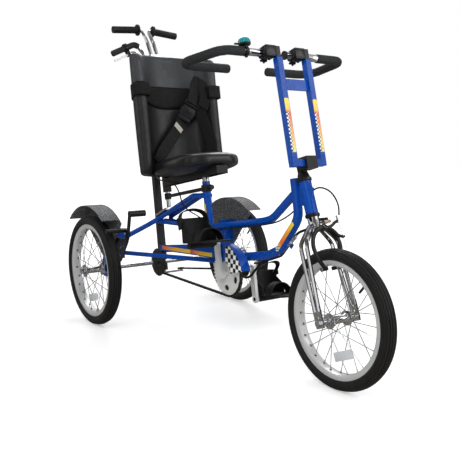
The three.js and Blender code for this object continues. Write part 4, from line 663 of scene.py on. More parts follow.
    @staticmethod
    def rounded(shape: Mesh, edges: Sequence[bmesh.types.BMEdge], radius: float, segments: int) -> None:
        """Rounds edges of a mesh with a number of facets each."""
        bmesh.ops.bevel(shape, geom=edges, offset=radius, offset_type="OFFSET", segments=segments, profile=0.5,
                        affect="EDGES", material=-1)


@dataclass(frozen=True)
class SmoothSolids:
    """The solids whose shape is right, each given rounded shading and its finish, and some of them eased edges."""

    finishes: tuple[tuple[Finish, str], ...] = (
        (FINISHES.paint, "frame column_frame"),
        (FINISHES.black_steel, "crank_hanger headset stem seat_frame seat_clamp steering_post"),
        (FINISHES.black_steel, "parking_brake_bracket parking_brake_lever"),
        (FINISHES.alloy, "left_crank right_crank brake_lever"),
        (FINISHES.brass, "front_link_rod"),
        (FINISHES.dark_steel, "rear_link_rod"),
        (FINISHES.chrome, "left_loop_bar right_loop_bar fork front_axle drive_axle seat_post back_strut"),
        (FINISHES.chrome, "push_handle steering_shaft"),
        (FINISHES.plastic, "left_axle_bearing right_axle_bearing"),
        (FINISHES.strap_rubber, "left_foot_plate right_foot_plate"),
        (FINISHES.plastic, "bell_lever brake_lever_clamp steering_conduit"),
        (FINISHES.rubber, "left_push_grip right_push_grip"),
        (FINISHES.chrome, "centring_spring"),
    )
    eased: tuple[tuple[float, str], ...] = (
        (0.0015, "left_crank right_crank column_frame steering_post"),
        (0.0012, "stem seat_frame"),
        (0.0010, "seat_clamp brake_lever_clamp"),
        (0.0008, "left_foot_plate right_foot_plate"),
        (0.0006, "parking_brake_bracket"),
    )
    fender_edge: float = 0.0008

    def dress(self) -> None:
        """Replaces each solid by its finished copy."""
        widths = {node: width for width, nodes in self.eased for node in nodes.split()}
        for finish, nodes in self.finishes:
            for node in nodes.split():
                made = Bench.refined(node, finish)
                if node in widths:
                    Bench.ease(made, widths[node], harden=True)
        for node in ("left_fender", "right_fender"):
            Bench.ease(Bench.refined(node, self.speckled(), "moulded"), self.fender_edge)

    @staticmethod
    def speckled() -> Material:
        """Returns the fenders' dark grey plastic with fine pale speckles."""
        paint = Paint("speckled_moulding")
        ground = paint.between(paint.noise(20, 4.0), linear("2f3132"), linear("3d3f40"))
        speckle = paint.math("GREATER_THAN", paint.noise(520, 3.0), 0.58)
        paint.look({"Base Color": paint.between(speckle, ground, linear("a4a7a9")), "Roughness": 0.55})
        paint.relief(Surface.MOULDED, 1100, 0.35)
        return paint.material


@dataclass(frozen=True)
class Wheel:
    """A wheel: ribbed tyre, box rim, hub, spokes with nipples, and valve."""

    name: str
    body: str
    centre: Vector
    radius: float = 0.199
    half_width: float = 0.0235
    rim_radius: float = 0.165
    rim_inner: float = 0.151
    rim_half: float = 0.0165
    steps: int = 112
    hub_steps: int = 40
    spokes: int = 28
    spoke_radius: float = 0.0011
    spoke_head: float = 0.00224
    spoke_lean: float = 49.0
    spoke_seat: float = 0.002
    spoke_offset: float = 0.0017
    rim_spread: float = 0.003
    nipple: Pair = (0.0017, 0.0021)
    nipple_reach: Pair = (0.009, 0.002)
    eyelet_radius: float = 0.0036
    eyelet_reach: Pair = (0.0007, 0.0015)
    flange_radius: float = 0.022
    flange_half: float = 0.033
    flange_thickness: float = 0.003
    hub_radius: float = 0.013
    hub_half: float = 0.041
    hub_end_radius: float = 0.0115
    waist_place: float = 0.023
    bore: float = 0.0078
    valve_angle: float = 360 * 4 / 28
    valve_stem: Triple = (0.022, 0.0042, 0.0032)
    valve_cap: Triple = (0.012, 0.0036, 0.0032)

    def spun(self, name: str, half: Sequence[Pair], finish: Finish, node: str, angle: float) -> None:
        """Makes a turned piece of the wheel.

        Args:
            name: the piece's name after the wheel's.
            half: the left half of its profile.
            finish: its finish.
            node: the solid's name after the wheel's.
            angle: the sharpest angle that is shaded smooth.
        """
        shape = bmesh.new()
        Bench.lathe(shape, Bench.mirrored(half), self.centre, self.steps)
        Bench.emit(shape, f"{self.name}_{name}", finish, self.body, (f"{self.name}_{node}",), angle)

    def tyre(self) -> None:
        """Makes the tyre, with three grooves round its tread and a moulded bead line."""
        self.spun("ribbed_tyre", (
            (0.1655, 0.0150), (0.1700, 0.0182), (0.1722, 0.0206), (0.1735, 0.0204), (0.1750, 0.0222),
            (0.1800, self.half_width), (0.1855, 0.0228), (0.1890, 0.0208), (0.1896, 0.0186), (0.1930, 0.0178),
            (0.1950, 0.0158), (0.1958, 0.0134), (0.1940, 0.0126), (0.1942, 0.0106), (0.1972, 0.0098),
            (0.1982, 0.0062), (0.1964, 0.0054), (0.1965, 0.0036), (self.radius, 0.0028)), FINISHES.rubber, "tyre", 30)

    def rim(self) -> None:
        """Makes the box rim with its brake tracks."""
        half, inner, outer = self.rim_half, self.rim_inner, self.rim_radius
        self.spun("box_rim", (
            (inner, 0.009), (inner + 0.0012, 0.0135), (inner + 0.004, half - 0.0008), (inner + 0.007, half),
            (outer - 0.0005, half), (outer + 0.0035, half - 0.0006), (outer + 0.0038, half - 0.0022),
            (outer - 0.0002, half - 0.0028)), FINISHES.rim, "rim", 28)

    def spoke_ends(self, index: int) -> tuple[Vector, Vector]:
        """Returns where a spoke leaves its flange and where it meets the rim."""
        side = 1 if index % 2 else -1
        lean = self.spoke_lean if index % 4 < 2 else -self.spoke_lean
        angle = 360 * (index + 0.5) / self.spokes
        face = self.flange_half + math.copysign(self.spoke_offset, lean)
        inner = self.flange_radius - self.spoke_seat
        return (self.centre + around(angle + lean) * inner + LEFTWARDS * side * face,
                self.centre + around(angle) * self.rim_inner + LEFTWARDS * side * self.rim_spread)

    def hub(self) -> None:
        """Makes the hub shell with its flanges and the spokes."""
        flange, thick, hub = self.flange_half, self.flange_thickness / 2, self.hub_radius
        edge, slope = self.flange_radius - 0.0006, thick + 0.001
        half = [(self.bore, self.hub_half), (self.hub_end_radius, self.hub_half), (hub, self.hub_half - 0.002),
                (hub, flange + slope), (edge, flange + thick), (self.flange_radius, flange), (edge, flange - thick),
                (hub + 0.002, flange - slope), (hub - 0.002, self.waist_place)]
        shape = bmesh.new()
        Bench.lathe(shape, Bench.mirrored(half), self.centre, self.hub_steps)
        head = LEFTWARDS * self.spoke_head
        for index in range(self.spokes):
            root, tip = self.spoke_ends(index)
            Bench.bar(shape, root, tip, self.spoke_radius)
            Bench.bar(shape, root - head, root + head, self.spoke_radius * 1.5)
        Bench.emit(shape, f"{self.name}_hub_and_spokes", FINISHES.chrome, self.body, (f"{self.name}_hub_spokes",))

    def nipples(self) -> None:
        """Makes the nipples and the dark eyelets in which they sit."""
        nipples, eyelets = bmesh.new(), bmesh.new()
        for index in range(self.spokes):
            root, tip = self.spoke_ends(index)
            along = (tip - root).normalized()
            out = around(360 * (index + 0.5) / self.spokes)
            Bench.bar(nipples, tip - along * self.nipple_reach[0], tip + along * self.nipple_reach[1],
                      self.nipple[0], 8, self.nipple[1])
            Bench.bar(eyelets, tip - out * self.eyelet_reach[0], tip + out * self.eyelet_reach[1],
                      self.eyelet_radius, 12)
        Bench.emit(nipples, f"{self.name}_nipples", FINISHES.chrome, self.body)
        Bench.emit(eyelets, f"{self.name}_eyelets", FINISHES.black_steel, self.body)

    def valve(self) -> None:
        """Makes the valve with its cap, inside the rim."""
        out = around(self.valve_angle)
        start = self.centre + out * (self.rim_inner + 0.002)
        shape = bmesh.new()
        for length, radius, end_radius in (self.valve_stem, self.valve_cap):
            end = start - out * length
            Bench.bar(shape, start, end, radius, 12, end_radius)
            start = end
        Bench.emit(shape, f"{self.name}_valve", FINISHES.rubber, self.body)

    def build(self) -> None:
        """Makes every piece of the wheel."""
        self.tyre()
        self.rim()
        self.hub()
        self.nipples()
        self.valve()


@dataclass(frozen=True)
class Transmission:
    """Toothed rings, the chain's links and the finished guard."""

    pitch: float = 0.0127
    line: float = -0.042
    ring_teeth: int = 38
    cog_teeth: int = 20
    ring_thickness: float = 0.0026
    tooth: tuple[Pair, ...] = ((0.0, -0.0042), (0.24, -0.0030), (0.40, 0.0018), (0.5, 0.0026),
                                              (0.60, 0.0018), (0.76, -0.0030))
    bore: float = 0.0085
    cog_hub: Triple = (0.016, -0.055, -0.031)
    face_line: float = -0.0439
    face_radius: float = 0.064
    face_thickness: float = 0.0034
    window_place: float = 0.050
    window_half: Pair = (0.0095, 0.0125)
    windows: int = 5
    backing: tuple[float, float, float, float] = (0.020, 0.066, -0.0378, -0.0368)
    disc_line: float = -0.054
    disc_radius: float = 0.054
    disc_bore: float = 0.0165
    ribs: int = 9
    rib: Triple = (0.018, 0.048, 0.0014)
    pin_lift: float = 0.0006
    plate: Triple = (0.0062, 0.0009, 0.0066)
    plate_spread: Pair = (0.0022, 0.0031)
    plate_corner: float = 0.0024
    roller: Pair = (0.0034, 0.0026)
    strip_start: float = -0.878
    strip_length: float = 0.34
    graded_length: float = 0.33
    strip_slope: float = 0.085
    strip_height: float = 0.2655
    strip_half: float = 0.0068
    squares_start: float = -0.461
    square: float = 0.0145
    guard_edge: float = 0.0006

    def gear_radius(self, teeth: int) -> float:
        """Returns the radius of the circle on which the chain's pins lie."""
        return self.pitch / (2 * math.sin(math.pi / teeth))

    @staticmethod
    def outline(shape: Mesh, centre: Vector, line: float, places: Sequence[Pair]) -> list[bmesh.types.BMEdge]:
        """Adds a closed outline that lies across the axle.

        Args:
            shape: the mesh to add to.
            centre: the middle of the axle.
            line: how far to the left the outline lies.
            places: radii, and angles in turns from straight up.

        Returns:
            Its edges.
        """
        verts = [shape.verts.new(centre + Vector((radius * math.sin(math.tau * turn), line,
                                                  radius * math.cos(math.tau * turn)))) for radius, turn in places]
        return [shape.edges.new(pair) for pair in zip(verts, verts[1:] + verts[:1])]

    @staticmethod
    def round_places(radius: float, count: int) -> list[Pair]:
        """Returns the places of a circle of points."""
        return [(radius, index / count) for index in range(count)]

    @staticmethod
    def thickened(shape: Mesh, thickness: float) -> Mesh:
        """Fills a mesh's outlines and returns it with its thickness, grown to the left."""
        bmesh.ops.triangle_fill(shape, use_beauty=True, use_dissolve=False, edges=shape.edges[:])
        grown = bmesh.ops.extrude_face_region(shape, geom=shape.faces[:])["geom"]
        bmesh.ops.translate(shape, vec=LEFTWARDS * thickness,
                            verts=[part for part in grown if isinstance(part, bmesh.types.BMVert)])
        return shape

    def toothed(self, centre: Vector, teeth: int, bore: float) -> Mesh:
        """Makes a toothed disc on the chain line.

        Args:
            centre: the middle of its axle.
            teeth: how many teeth it has.
            bore: the radius of its hole.

        Returns:
            The disc, open in the middle.
        """
        pins = self.gear_radius(teeth)
        back = self.line - self.ring_thickness / 2
        shape = bmesh.new()
        self.outline(shape, centre, back, [(pins + height, (tooth + share) / teeth) for tooth in range(teeth)
                                           for share, height in self.tooth])
        self.outline(shape, centre, back, self.round_places(bore, 40))
        return self.thickened(shape, self.ring_thickness)

    def rings(self) -> None:
        """Makes the chainring's toothed rim, its face and the black drive cog with its disc."""
        rim = self.toothed(CRANK, self.ring_teeth, self.face_radius)
        Bench.emit(rim, "chainring_teeth", FINISHES.alloy, "crankset", ("chainring",))
        self.face()
        cog = self.toothed(REAR_AXLE, self.cog_teeth, self.bore)
        radius, right, left = self.cog_hub
        Bench.lathe(cog, [(self.bore, right), (radius, right), (radius, left), (self.bore, left)], REAR_AXLE, 32)
        Bench.emit(cog, "drive_cog", FINISHES.black_steel, "drive", ("drive_sprocket",))
        disc = bmesh.new()
        middle, half = REAR_AXLE + LEFTWARDS * self.disc_line, 0.0015
        side = [(self.disc_bore, half), (self.disc_radius - 0.004, half), (self.disc_radius - 0.001, 0.001)]
        Bench.lathe(disc, [*Bench.mirrored(side)[:3], (self.disc_radius, 0.0), *Bench.mirrored(side)[3:]], middle, 64)
        start, end, thick = self.rib
        for index in range(self.ribs):
            away = around(360 * index / self.ribs)
            hub = middle - LEFTWARDS * half
            Bench.bar(disc, hub + away * start, hub + away * end, thick, 6)
        Bench.emit(disc, "chain_disc", FINISHES.plastic, "drive")

    def face(self) -> None:
        """Makes the pressed face of the chainring, with round windows, and the black plate behind it."""
        shape = bmesh.new()
        self.outline(shape, CRANK, self.face_line, self.round_places(self.face_radius, 40))
        self.outline(shape, CRANK, self.face_line, self.round_places(self.bore, 20))
        reach, sway = self.window_half
        turns = [math.tau * step / 20 for step in range(20)]
        for index in range(self.windows):
            self.outline(shape, CRANK, self.face_line, [
                (self.window_place + reach * math.cos(turn),
                 (index + 0.5) / self.windows + sway * math.sin(turn) / self.window_place / math.tau)
                for turn in turns])
        Bench.emit(self.thickened(shape, self.face_thickness), "chainring_face", FINISHES.alloy, "crankset")
        backing = bmesh.new()
        inner, outer, right, left = self.backing
        Bench.lathe(backing, [(inner, right), (outer, right), (outer, left), (inner, left)], CRANK, 64)
        Bench.emit(backing, "chainring_backing", FINISHES.black_steel, "crankset")

    def chain(self) -> None:
        """Makes the links and rollers all round the loop."""
        places = self.pins()
        plates, rollers = bmesh.new(), bmesh.new()
        (longer, thick, high), (reach, radius) = self.plate, self.roller
        for index, start in enumerate(places):
            end = places[(index + 1) % len(places)]
            along = (end - start).normalized()
            turn = turned(along, LEFTWARDS, along.cross(LEFTWARDS))
            for side in (-1, 1):
                middle = (start + end) / 2 + LEFTWARDS * side * self.plate_spread[index % 2]
                Bench.block(plates, middle, turn, ((end - start).length + longer, thick, high), self.plate_corner, 1)
            Bench.bar(rollers, start - LEFTWARDS * reach, start + LEFTWARDS * reach, radius)
        Bench.emit(plates, "chain_links", FINISHES.oiled, "base", ("chain",), 40)
        Bench.emit(rollers, "chain_rollers", FINISHES.oiled, "base", (), 50)

    def pins(self) -> list[Vector]:
        """Returns the places of the chain's pins, evenly round both rings and the straight runs."""
        large, small = (self.gear_radius(teeth) + self.pin_lift for teeth in (self.ring_teeth, self.cog_teeth))
        slope = math.degrees(math.atan2(CRANK.z - REAR_AXLE.z, CRANK.x - REAR_AXLE.x))
        opening = math.degrees(math.acos((large - small) / (CRANK - REAR_AXLE).length))
        line = []
        for centre, radius, start, sweep in ((CRANK, large, slope + opening, -2 * opening),
                                             (REAR_AXLE, small, slope - opening, 2 * opening - 360)):
            line += [centre + around(start + sweep * step / 60) * radius + LEFTWARDS * self.line
                     for step in range(61)]
        line.append(line[0].copy())
        lengths = [0.0]
        for first, second in zip(line, line[1:]):
            lengths.append(lengths[-1] + (second - first).length)
        count = 2 * round(lengths[-1] / self.pitch / 2)
        pins, index = [], 0
        for number in range(count):
            want = lengths[-1] * number / count
            while lengths[index + 1] < want:
                index += 1
            share = (want - lengths[index]) / (lengths[index + 1] - lengths[index])
            pins.append(line[index].lerp(line[index + 1], share))
        return pins

    def guard(self) -> None:
        """Finishes the guard: blue, with a graded strip on its bar and squares on its front plate."""
        paint = Paint("guard_paint_and_squares")
        across, _, height = paint.node("ShaderNodeSeparateXYZ", {0: paint.place}).outputs
        squares = paint.node("ShaderNodeTexChecker", {"Scale": 1 / self.square, "Color1": linear("f4f4f2"),
                                                      "Color2": linear("111213"), "Vector": paint.mapped(CRANK)})
        reach = paint.math("SUBTRACT", across, self.strip_start)
        graded = paint.steps(paint.math("DIVIDE", reach, self.graded_length), (
            (0.0, "e0682c"), (0.35, "f0b430"), (0.6, "f3d13c"), (0.62, "d9432f"), (0.8, "f0b430"), (1.0, "f3d13c")))
        normal = paint.node("ShaderNodeNewGeometry").outputs["Normal"]
        outside = paint.math("LESS_THAN", paint.node("ShaderNodeSeparateXYZ", {0: normal}).outputs[1], -0.8)
        front = paint.math("MULTIPLY", paint.math("GREATER_THAN", across, self.squares_start), outside)
        middle = paint.math("ADD", paint.math("MULTIPLY", reach, self.strip_slope), self.strip_height)
        off = paint.math("ABSOLUTE", paint.math("SUBTRACT", height, middle))
        strip = outside
        for test, value, limit in (("LESS_THAN", off, self.strip_half), ("GREATER_THAN", reach, 0.0),
                                   ("LESS_THAN", reach, self.strip_length)):
            strip = paint.math("MULTIPLY", strip, paint.math(test, value, limit))
        blue = paint.between(paint.noise(14, 5.0), *(linear(code) for code in BLUE))
        color = paint.between(front, paint.between(strip, blue, graded), squares.outputs["Color"])
        paint.look({"Base Color": color, "Roughness": 0.28, "Coat Weight": 0.1, "Specular IOR Level": 0.3})
        paint.relief(Surface.ORANGE_PEEL, 260, 0.05)
        Bench.ease(Bench.refined("chain_guard", paint.material, "paint", 35.0), self.guard_edge, 30.0)

    def build(self) -> None:
        """Makes every piece of the transmission."""
        self.rings()
        self.chain()
        self.guard()


@dataclass(frozen=True)
class BarFittings:
    """The clamps of the two loop bars and the bell on the right one."""

    bar_rise: float = 0.3337
    setback: float = 0.0195
    bar_radius: float = 0.0111
    fit: float = 0.0002
    spacing: float = 0.108
    stem_side: float = 0.0154
    stem_foot: float = 0.2067
    stem_top: float = 0.3487
    stem_edge: float = 0.0012
    clamp_width: float = 0.036
    clamp_end: float = 0.008
    clamp_shift: float = 0.0004
    ring_radius: float = 0.0168
    chamfer: float = 0.003
    wall_lap: float = 0.0006
    neck: Triple = (0.0008, 0.0125, 0.0300)
    bolt_reach: float = 0.0128
    bolt_radius: float = 0.0032
    bolt_rises: Pair = (-0.0235, -0.0170)
    nut: Triple = (0.0085, 0.02232, 0.006)
    nut_rise: float = -0.0165
    bell_side: float = -0.150
    bell_radius: float = 0.018
    bell_lift: float = 0.0065
    bell_screw: Triple = (0.0160, 0.0105, 0.0045)
    plug_side: float = -0.008
    plug_ends: Pair = (0.004, 0.0005)
    plug_rim: float = 0.002
    lug_edge: float = 0.0014
    neck_edge: float = 0.0018
    nut_edge: float = 0.0015
    pole: float = 0.0002

    def block(self, shape: Mesh, ahead: float, side: float, rise: float, size: Sequence[float],
              bevel: float) -> None:
        """Adds a box whose length, width and height lie along the columns' directions.

        Args:
            shape: the mesh to add to.
            ahead: how far ahead its middle lies.
            side: how far to the left it lies.
            rise: how far above the bars it lies.
            size: its length, width and height.
            bevel: the radius of its edges.
        """
        Bench.block(shape, COLUMNS.at(ahead, side, self.bar_rise + rise), COLUMNS.turn, size, bevel, 3)

    def clamp(self, name: str, side: int) -> None:
        """Makes one clamp with its ring, bolts and square stem.

        Args:
            name: the side's name.
            side: 1 for the left and -1 for the right.
        """
        stem = side * self.spacing / 2
        ring = stem - (self.stem_side + self.clamp_width) / 2
        inner, wide = self.bar_radius + self.fit, self.clamp_width
        wall = self.ring_radius - inner
        shape = bmesh.new()
        Bench.lathe(shape, Bench.collar(inner, self.ring_radius, wide / 2, self.chamfer),
                    COLUMNS.at(-self.setback, ring, self.bar_rise), 40)
        for level in (-1, 1):
            self.block(shape, self.clamp_end - self.setback / 2, ring + self.clamp_shift,
                       level * (inner + wall / 2 - self.wall_lap), (self.setback, wide, wall), self.lug_edge)
        place, length, height = self.neck
        self.block(shape, place, ring + self.clamp_shift, 0.0, (length, wide, height), self.neck_edge)
        for way in (-1, 1):
            spot = -self.setback + way * self.bolt_reach
            self.block(shape, spot, ring, self.nut_rise, self.nut, self.nut_edge)
            low, high = (COLUMNS.at(spot, ring, self.bar_rise + rise) for rise in self.bolt_rises)
            Bench.bar(shape, low, high, self.bolt_radius, 16)
        body = Bench.body_of(f"{name}_bar_clamp")
        Bench.emit(shape, f"{name}_loop_clamp", FINISHES.black_steel, body, (f"{name}_bar_clamp",), 40)
        square = bmesh.new()
        self.block(square, 0.0, stem, (self.stem_foot + self.stem_top) / 2 - self.bar_rise,
                   (self.stem_side, self.stem_side, self.stem_top - self.stem_foot), self.stem_edge)
        Bench.emit(square, f"{name}_square_stem", FINISHES.satin_steel, body)

    def bell(self) -> None:
        """Makes the bell: a teal dome with its screw, on a black base and band."""
        up, wide, pole, radius = COLUMNS.up, self.bell_radius, self.pole, self.bar_radius
        bar = COLUMNS.at(-self.setback, self.bell_side, self.bar_rise)
        base = bar + up * (radius + self.bell_lift)
        dome, low, cap = bmesh.new(), bmesh.new(), bmesh.new()
        Bench.lathe(dome, [(pole, 0.0216), (0.008, 0.0214), (0.0128, 0.0200), (0.0158, 0.0170), (0.0172, 0.0130),
                           (wide, 0.0070), (wide, 0.0048), (0.0165, 0.0048), (0.0150, 0.0120), (0.0115, 0.0170),
                           (pole, 0.0190)], base, 48, up)
        Bench.emit(dome, "bell_dome", FINISHES.teal, Bench.body_of("bell"), ("bell",), 30)
        Bench.lathe(low, [(pole, 0.0060), (0.0160, 0.0055), (0.0162, 0.0010), (0.0140, -0.0010), (0.0075, -0.0020),
                          (0.0070, -self.bell_lift), (pole, -self.bell_lift)], base, 40, up)
        Bench.lathe(low, Bench.mirrored([(radius + self.fit, 0.0052), (radius + 0.0024, 0.0048)]), bar, 40)
        foot, top, thick = self.bell_screw
        Bench.bar(low, bar - up * foot, bar - up * top, thick, 12)
        Bench.emit(low, "bell_base", FINISHES.plastic, Bench.body_of("bell"))
        Bench.lathe(cap, [(pole, 0.0232), (0.0026, 0.0230), (0.0032, 0.0214), (pole, 0.0212)], base, 20, up)
        Bench.emit(cap, "bell_screw", FINISHES.chrome, Bench.body_of("bell"))

    def plug(self) -> None:
        """Makes the black plug in the free inner end of the left loop."""
        shape = bmesh.new()
        end = COLUMNS.at(-self.setback, self.plug_side, self.bar_rise)
        right, left = self.plug_ends
        Bench.bar(shape, end - LEFTWARDS * right, end + LEFTWARDS * left, self.bar_radius + self.plug_rim, 24)
        Bench.emit(shape, "left_loop_plug", FINISHES.plastic, Bench.body_of("left_loop_bar"))

    def build(self) -> None:
        """Makes the plug, both clamps and the bell."""
        self.plug()
        self.clamp("right", -1)
        self.clamp("left", 1)
        self.bell()


@dataclass(frozen=True)
class RimBrake:
    """The two arms of the front brake with their pads, horns and bare wire."""

    pivot_drop: float = 0.047
    pivot: Pair = (0.0035, 0.010)
    flat_share: float = 0.66
    arm_half: float = 0.0068
    horn_half: float = 0.0048
    pad: Triple = (-0.0095, 0.0250, -0.162)
    pad_size: Triple = (0.026, 0.009, 0.011)
    nut: Triple = (0.0045, 0.0100, 0.0042)
    left_ahead: float = 0.0265
    right_ahead: float = 0.0338
    line: tuple[Pair, ...] = ((0, -47), (16, -49), (34, -57), (48, -74), (54, -97), (51, -119),
                                             (44, -137), (37, -150), (30, -162))
    left_horn: tuple[Pair, ...] = ((0, -47), (20, -47), (40, -42), (54, -34), (66, -31))
    right_horn: tuple[Pair, ...] = ((0, -47), (20, -50), (36, -60), (50, -74), (66, -79))
    wire_top: Triple = (0.0265, 0.0670, -0.0290)
    wire_foot: Triple = (0.0335, 0.0660, -0.0790)
    wire_radius: float = 0.0007
    wire_tail: float = 0.034
    adjuster: Triple = (0.015, 0.0036, 0.0028)
    screw_ends: tuple[Triple, ...] = ((-0.004, 0, -0.0016), (0.006, 0, 0.002))
    screw_radius: float = 0.0034
    pad_edge: float = 0.0018

    def limb(self, shape: Mesh, line: Sequence[Pair], ahead: float, half: float) -> None:
        """Adds a curved bar that is flatter along the head than it is wide.

        Args:
            shape: the mesh to add to.
            line: its places to the left and up, in millimetres.
            ahead: how far its middle lies ahead.
            half: half its width.
        """
        bar = Bench.tube([HEAD.at(ahead, side * MM, rise * MM) for side, rise in line], half, 14, 6)
        space = HEAD.turn.transposed() @ Matrix.Translation(-HEAD.at(ahead, 0, 0))
        bmesh.ops.scale(bar, vec=(self.flat_share, 1, 1), space=space, verts=bar.verts)
        mesh = bpy.data.meshes.new("limb")
        bar.to_mesh(mesh)
        bar.free()
        shape.from_mesh(mesh)
        bpy.data.meshes.remove(mesh)

    def arm(self, name: str, side: int, ahead: float, horn: Sequence[Pair]) -> None:
        """Makes one arm.

        Args:
            name: the side's name.
            side: 1 for the left and -1 for the right.
            ahead: how far the middle of the arm lies ahead.
            horn: places on its horn, to the left and up, in millimetres.
        """
        shape = bmesh.new()
        self.limb(shape, [(side * across, rise) for across, rise in self.line], ahead, self.arm_half)
        self.limb(shape, horn, ahead, self.horn_half)
        half, radius = self.pivot
        back, front = (HEAD.at(ahead + reach, 0, -self.pivot_drop) for reach in (-half, half))
        Bench.bar(shape, back, front, radius, 24)
        place = HEAD.at(ahead + self.pad[0], side * self.pad[1], self.pad[2])
        Bench.block(shape, place, HEAD.turn, self.pad_size, self.pad_edge)
        body = Bench.body_of(f"{name}_caliper_arm")
        Bench.emit(shape, f"{name}_brake_arm", FINISHES.black_steel, body, (f"{name}_caliper_arm",), 40)
        nut = bmesh.new()
        start, end, radius = self.nut
        Bench.bar(nut, place + LEFTWARDS * side * start, place + LEFTWARDS * side * end, radius, 6)
        Bench.emit(nut, f"{name}_pad_nut", FINISHES.chrome, body)

    def wire(self) -> None:
        """Makes the adjuster at the end of the cable and the bare wire between the horns."""
        upper, lower = HEAD.at(*self.wire_top), HEAD.at(*self.wire_foot)
        down = (lower - upper).normalized()
        adjuster, strand = bmesh.new(), bmesh.new()
        length, wide, narrow = self.adjuster
        Bench.bar(adjuster, upper, upper - down * length, wide, 12, narrow)
        Bench.emit(adjuster, "cable_adjuster", FINISHES.chrome, Bench.body_of("left_caliper_arm"))
        Bench.bar(strand, upper, lower + down * self.wire_tail, self.wire_radius)
        Bench.bar(strand, *(lower + Vector(end) for end in self.screw_ends), self.screw_radius, 6)
        Bench.emit(strand, "brake_wire", FINISHES.chrome, Bench.body_of("right_caliper_arm"))

    def build(self) -> None:
        """Makes both arms and the wire."""
        self.arm("left", 1, self.left_ahead, self.left_horn)
        self.arm("right", -1, self.right_ahead, self.right_horn)
        self.wire()


@dataclass(frozen=True)
class HeadRings:
    """The lock rings round both ends of the head tube."""

    inner: float = 0.0187
    outer: float = 0.0216
    half_height: float = 0.0042
    chamfer: float = 0.001
    rises: Pair = (-0.003, 0.1030)

    def build(self) -> None:
        """Makes both rings."""
        shape = bmesh.new()
        for rise in self.rises:
            Bench.lathe(shape, Bench.collar(self.inner, self.outer, self.half_height, self.chamfer),
                        HEAD.at(0, 0, rise), 48, HEAD.up)
        Bench.emit(shape, "head_lock_rings", FINISHES.black_steel, "base")


@dataclass(frozen=True)
class Footwear:
    """The webbing loops over the heels of the sandals."""

    reach: float = 0.102
    lean: float = 12.0
    toe_up: float = 9.7
    sole_lift: float = 0.008
    width: float = 0.024
    thickness: float = 0.0024
    splay: float = 0.25
    bars: tuple[tuple[float, float, Triple, float], ...] = (
        (0.0, -0.006, (0.031, 0.0062, 0.0045), 0.0015), (0.0, 0.006, (0.031, 0.0062, 0.0045), 0.0015),
        (-0.014, 0.0, (0.0035, 0.0058, 0.0150), 0.0012), (0.014, 0.0, (0.0035, 0.0058, 0.0150), 0.0012))

    def loop(self, name: str, side: int, middle: float, line: Sequence[Triple]) -> None:
        """Makes one loop with its slider.

        Args:
            name: the side's name.
            side: 1 for the left and -1 for the right.
            middle: how far the sandal's middle lies from the centre.
            line: places ahead of the pedal's axle, outwards and above the sole, in millimetres.
        """
        tip = CRANK + around(self.lean - 90) * self.reach * side
        sole = Lean(tip + Vector((0, side * middle, self.sole_lift)), self.toe_up)
        path = [sole.at(x * MM, side * y * MM, z * MM) for x, y, z in line]
        body = f"{name}_pedal"
        Bench.strap(f"{name}_heel_loop", path, [sole.ahead + sole.up * self.splay] * len(path), self.width,
                    self.thickness, body)
        slider = bmesh.new()
        for ahead, rise, size, bevel in self.bars:
            Bench.block(slider, path[1] + sole.ahead * ahead + sole.up * rise, sole.turn, size, bevel)
        Bench.emit(slider, f"{name}_loop_slider", FINISHES.plastic, body)

    def build(self) -> None:
        """Makes a loop for each sandal."""
        self.loop("right", -1, 0.1335, ((-40, 49, 46), (-40, 50, 76), (-39, 42, 99), (-38, 16, 108), (-36, -16, 106),
                                        (-34, -40, 94), (-32, -49, 70), (-30, -50, 40)))
        self.loop("left", 1, 0.1255, ((-34, 49, 44), (-24, 50, 72), (2, 43, 98), (24, 16, 112), (24, -16, 112),
                                      (4, -41, 96), (-16, -49, 70), (-26, -50, 40)))


@dataclass(frozen=True)
class Reflectors:
    """The clear reflectors among the spokes."""

    angles: tuple[tuple[str, float], ...] = (("front", -65.0), ("right", -72.0), ("left", 120.0))
    distance: float = 0.098
    side: float = -0.016
    size: Triple = (0.072, 0.0035, 0.026)
    clip_side: float = -0.013
    clip_reach: float = 0.028
    clip_size: Triple = (0.006, 0.007, 0.016)
    edge: float = 0.0016
    clip_edge: float = 0.001

    def build(self) -> None:
        """Makes one reflector in each wheel."""
        for name, angle in self.angles:
            body, centre = WHEELS[name]
            spoke = Lean(centre, angle)
            turn = turned(spoke.up, LEFTWARDS, spoke.ahead)
            shape = bmesh.new()
            Bench.block(shape, spoke.at(self.distance, self.side, 0), turn, self.size, self.edge)
            for reach in (-self.clip_reach, self.clip_reach):
                Bench.block(shape, spoke.at(self.distance, self.clip_side, reach), turn, self.clip_size,
                            self.clip_edge, 1)
            Bench.emit(shape, f"{name}_reflector", FINISHES.clear, body)


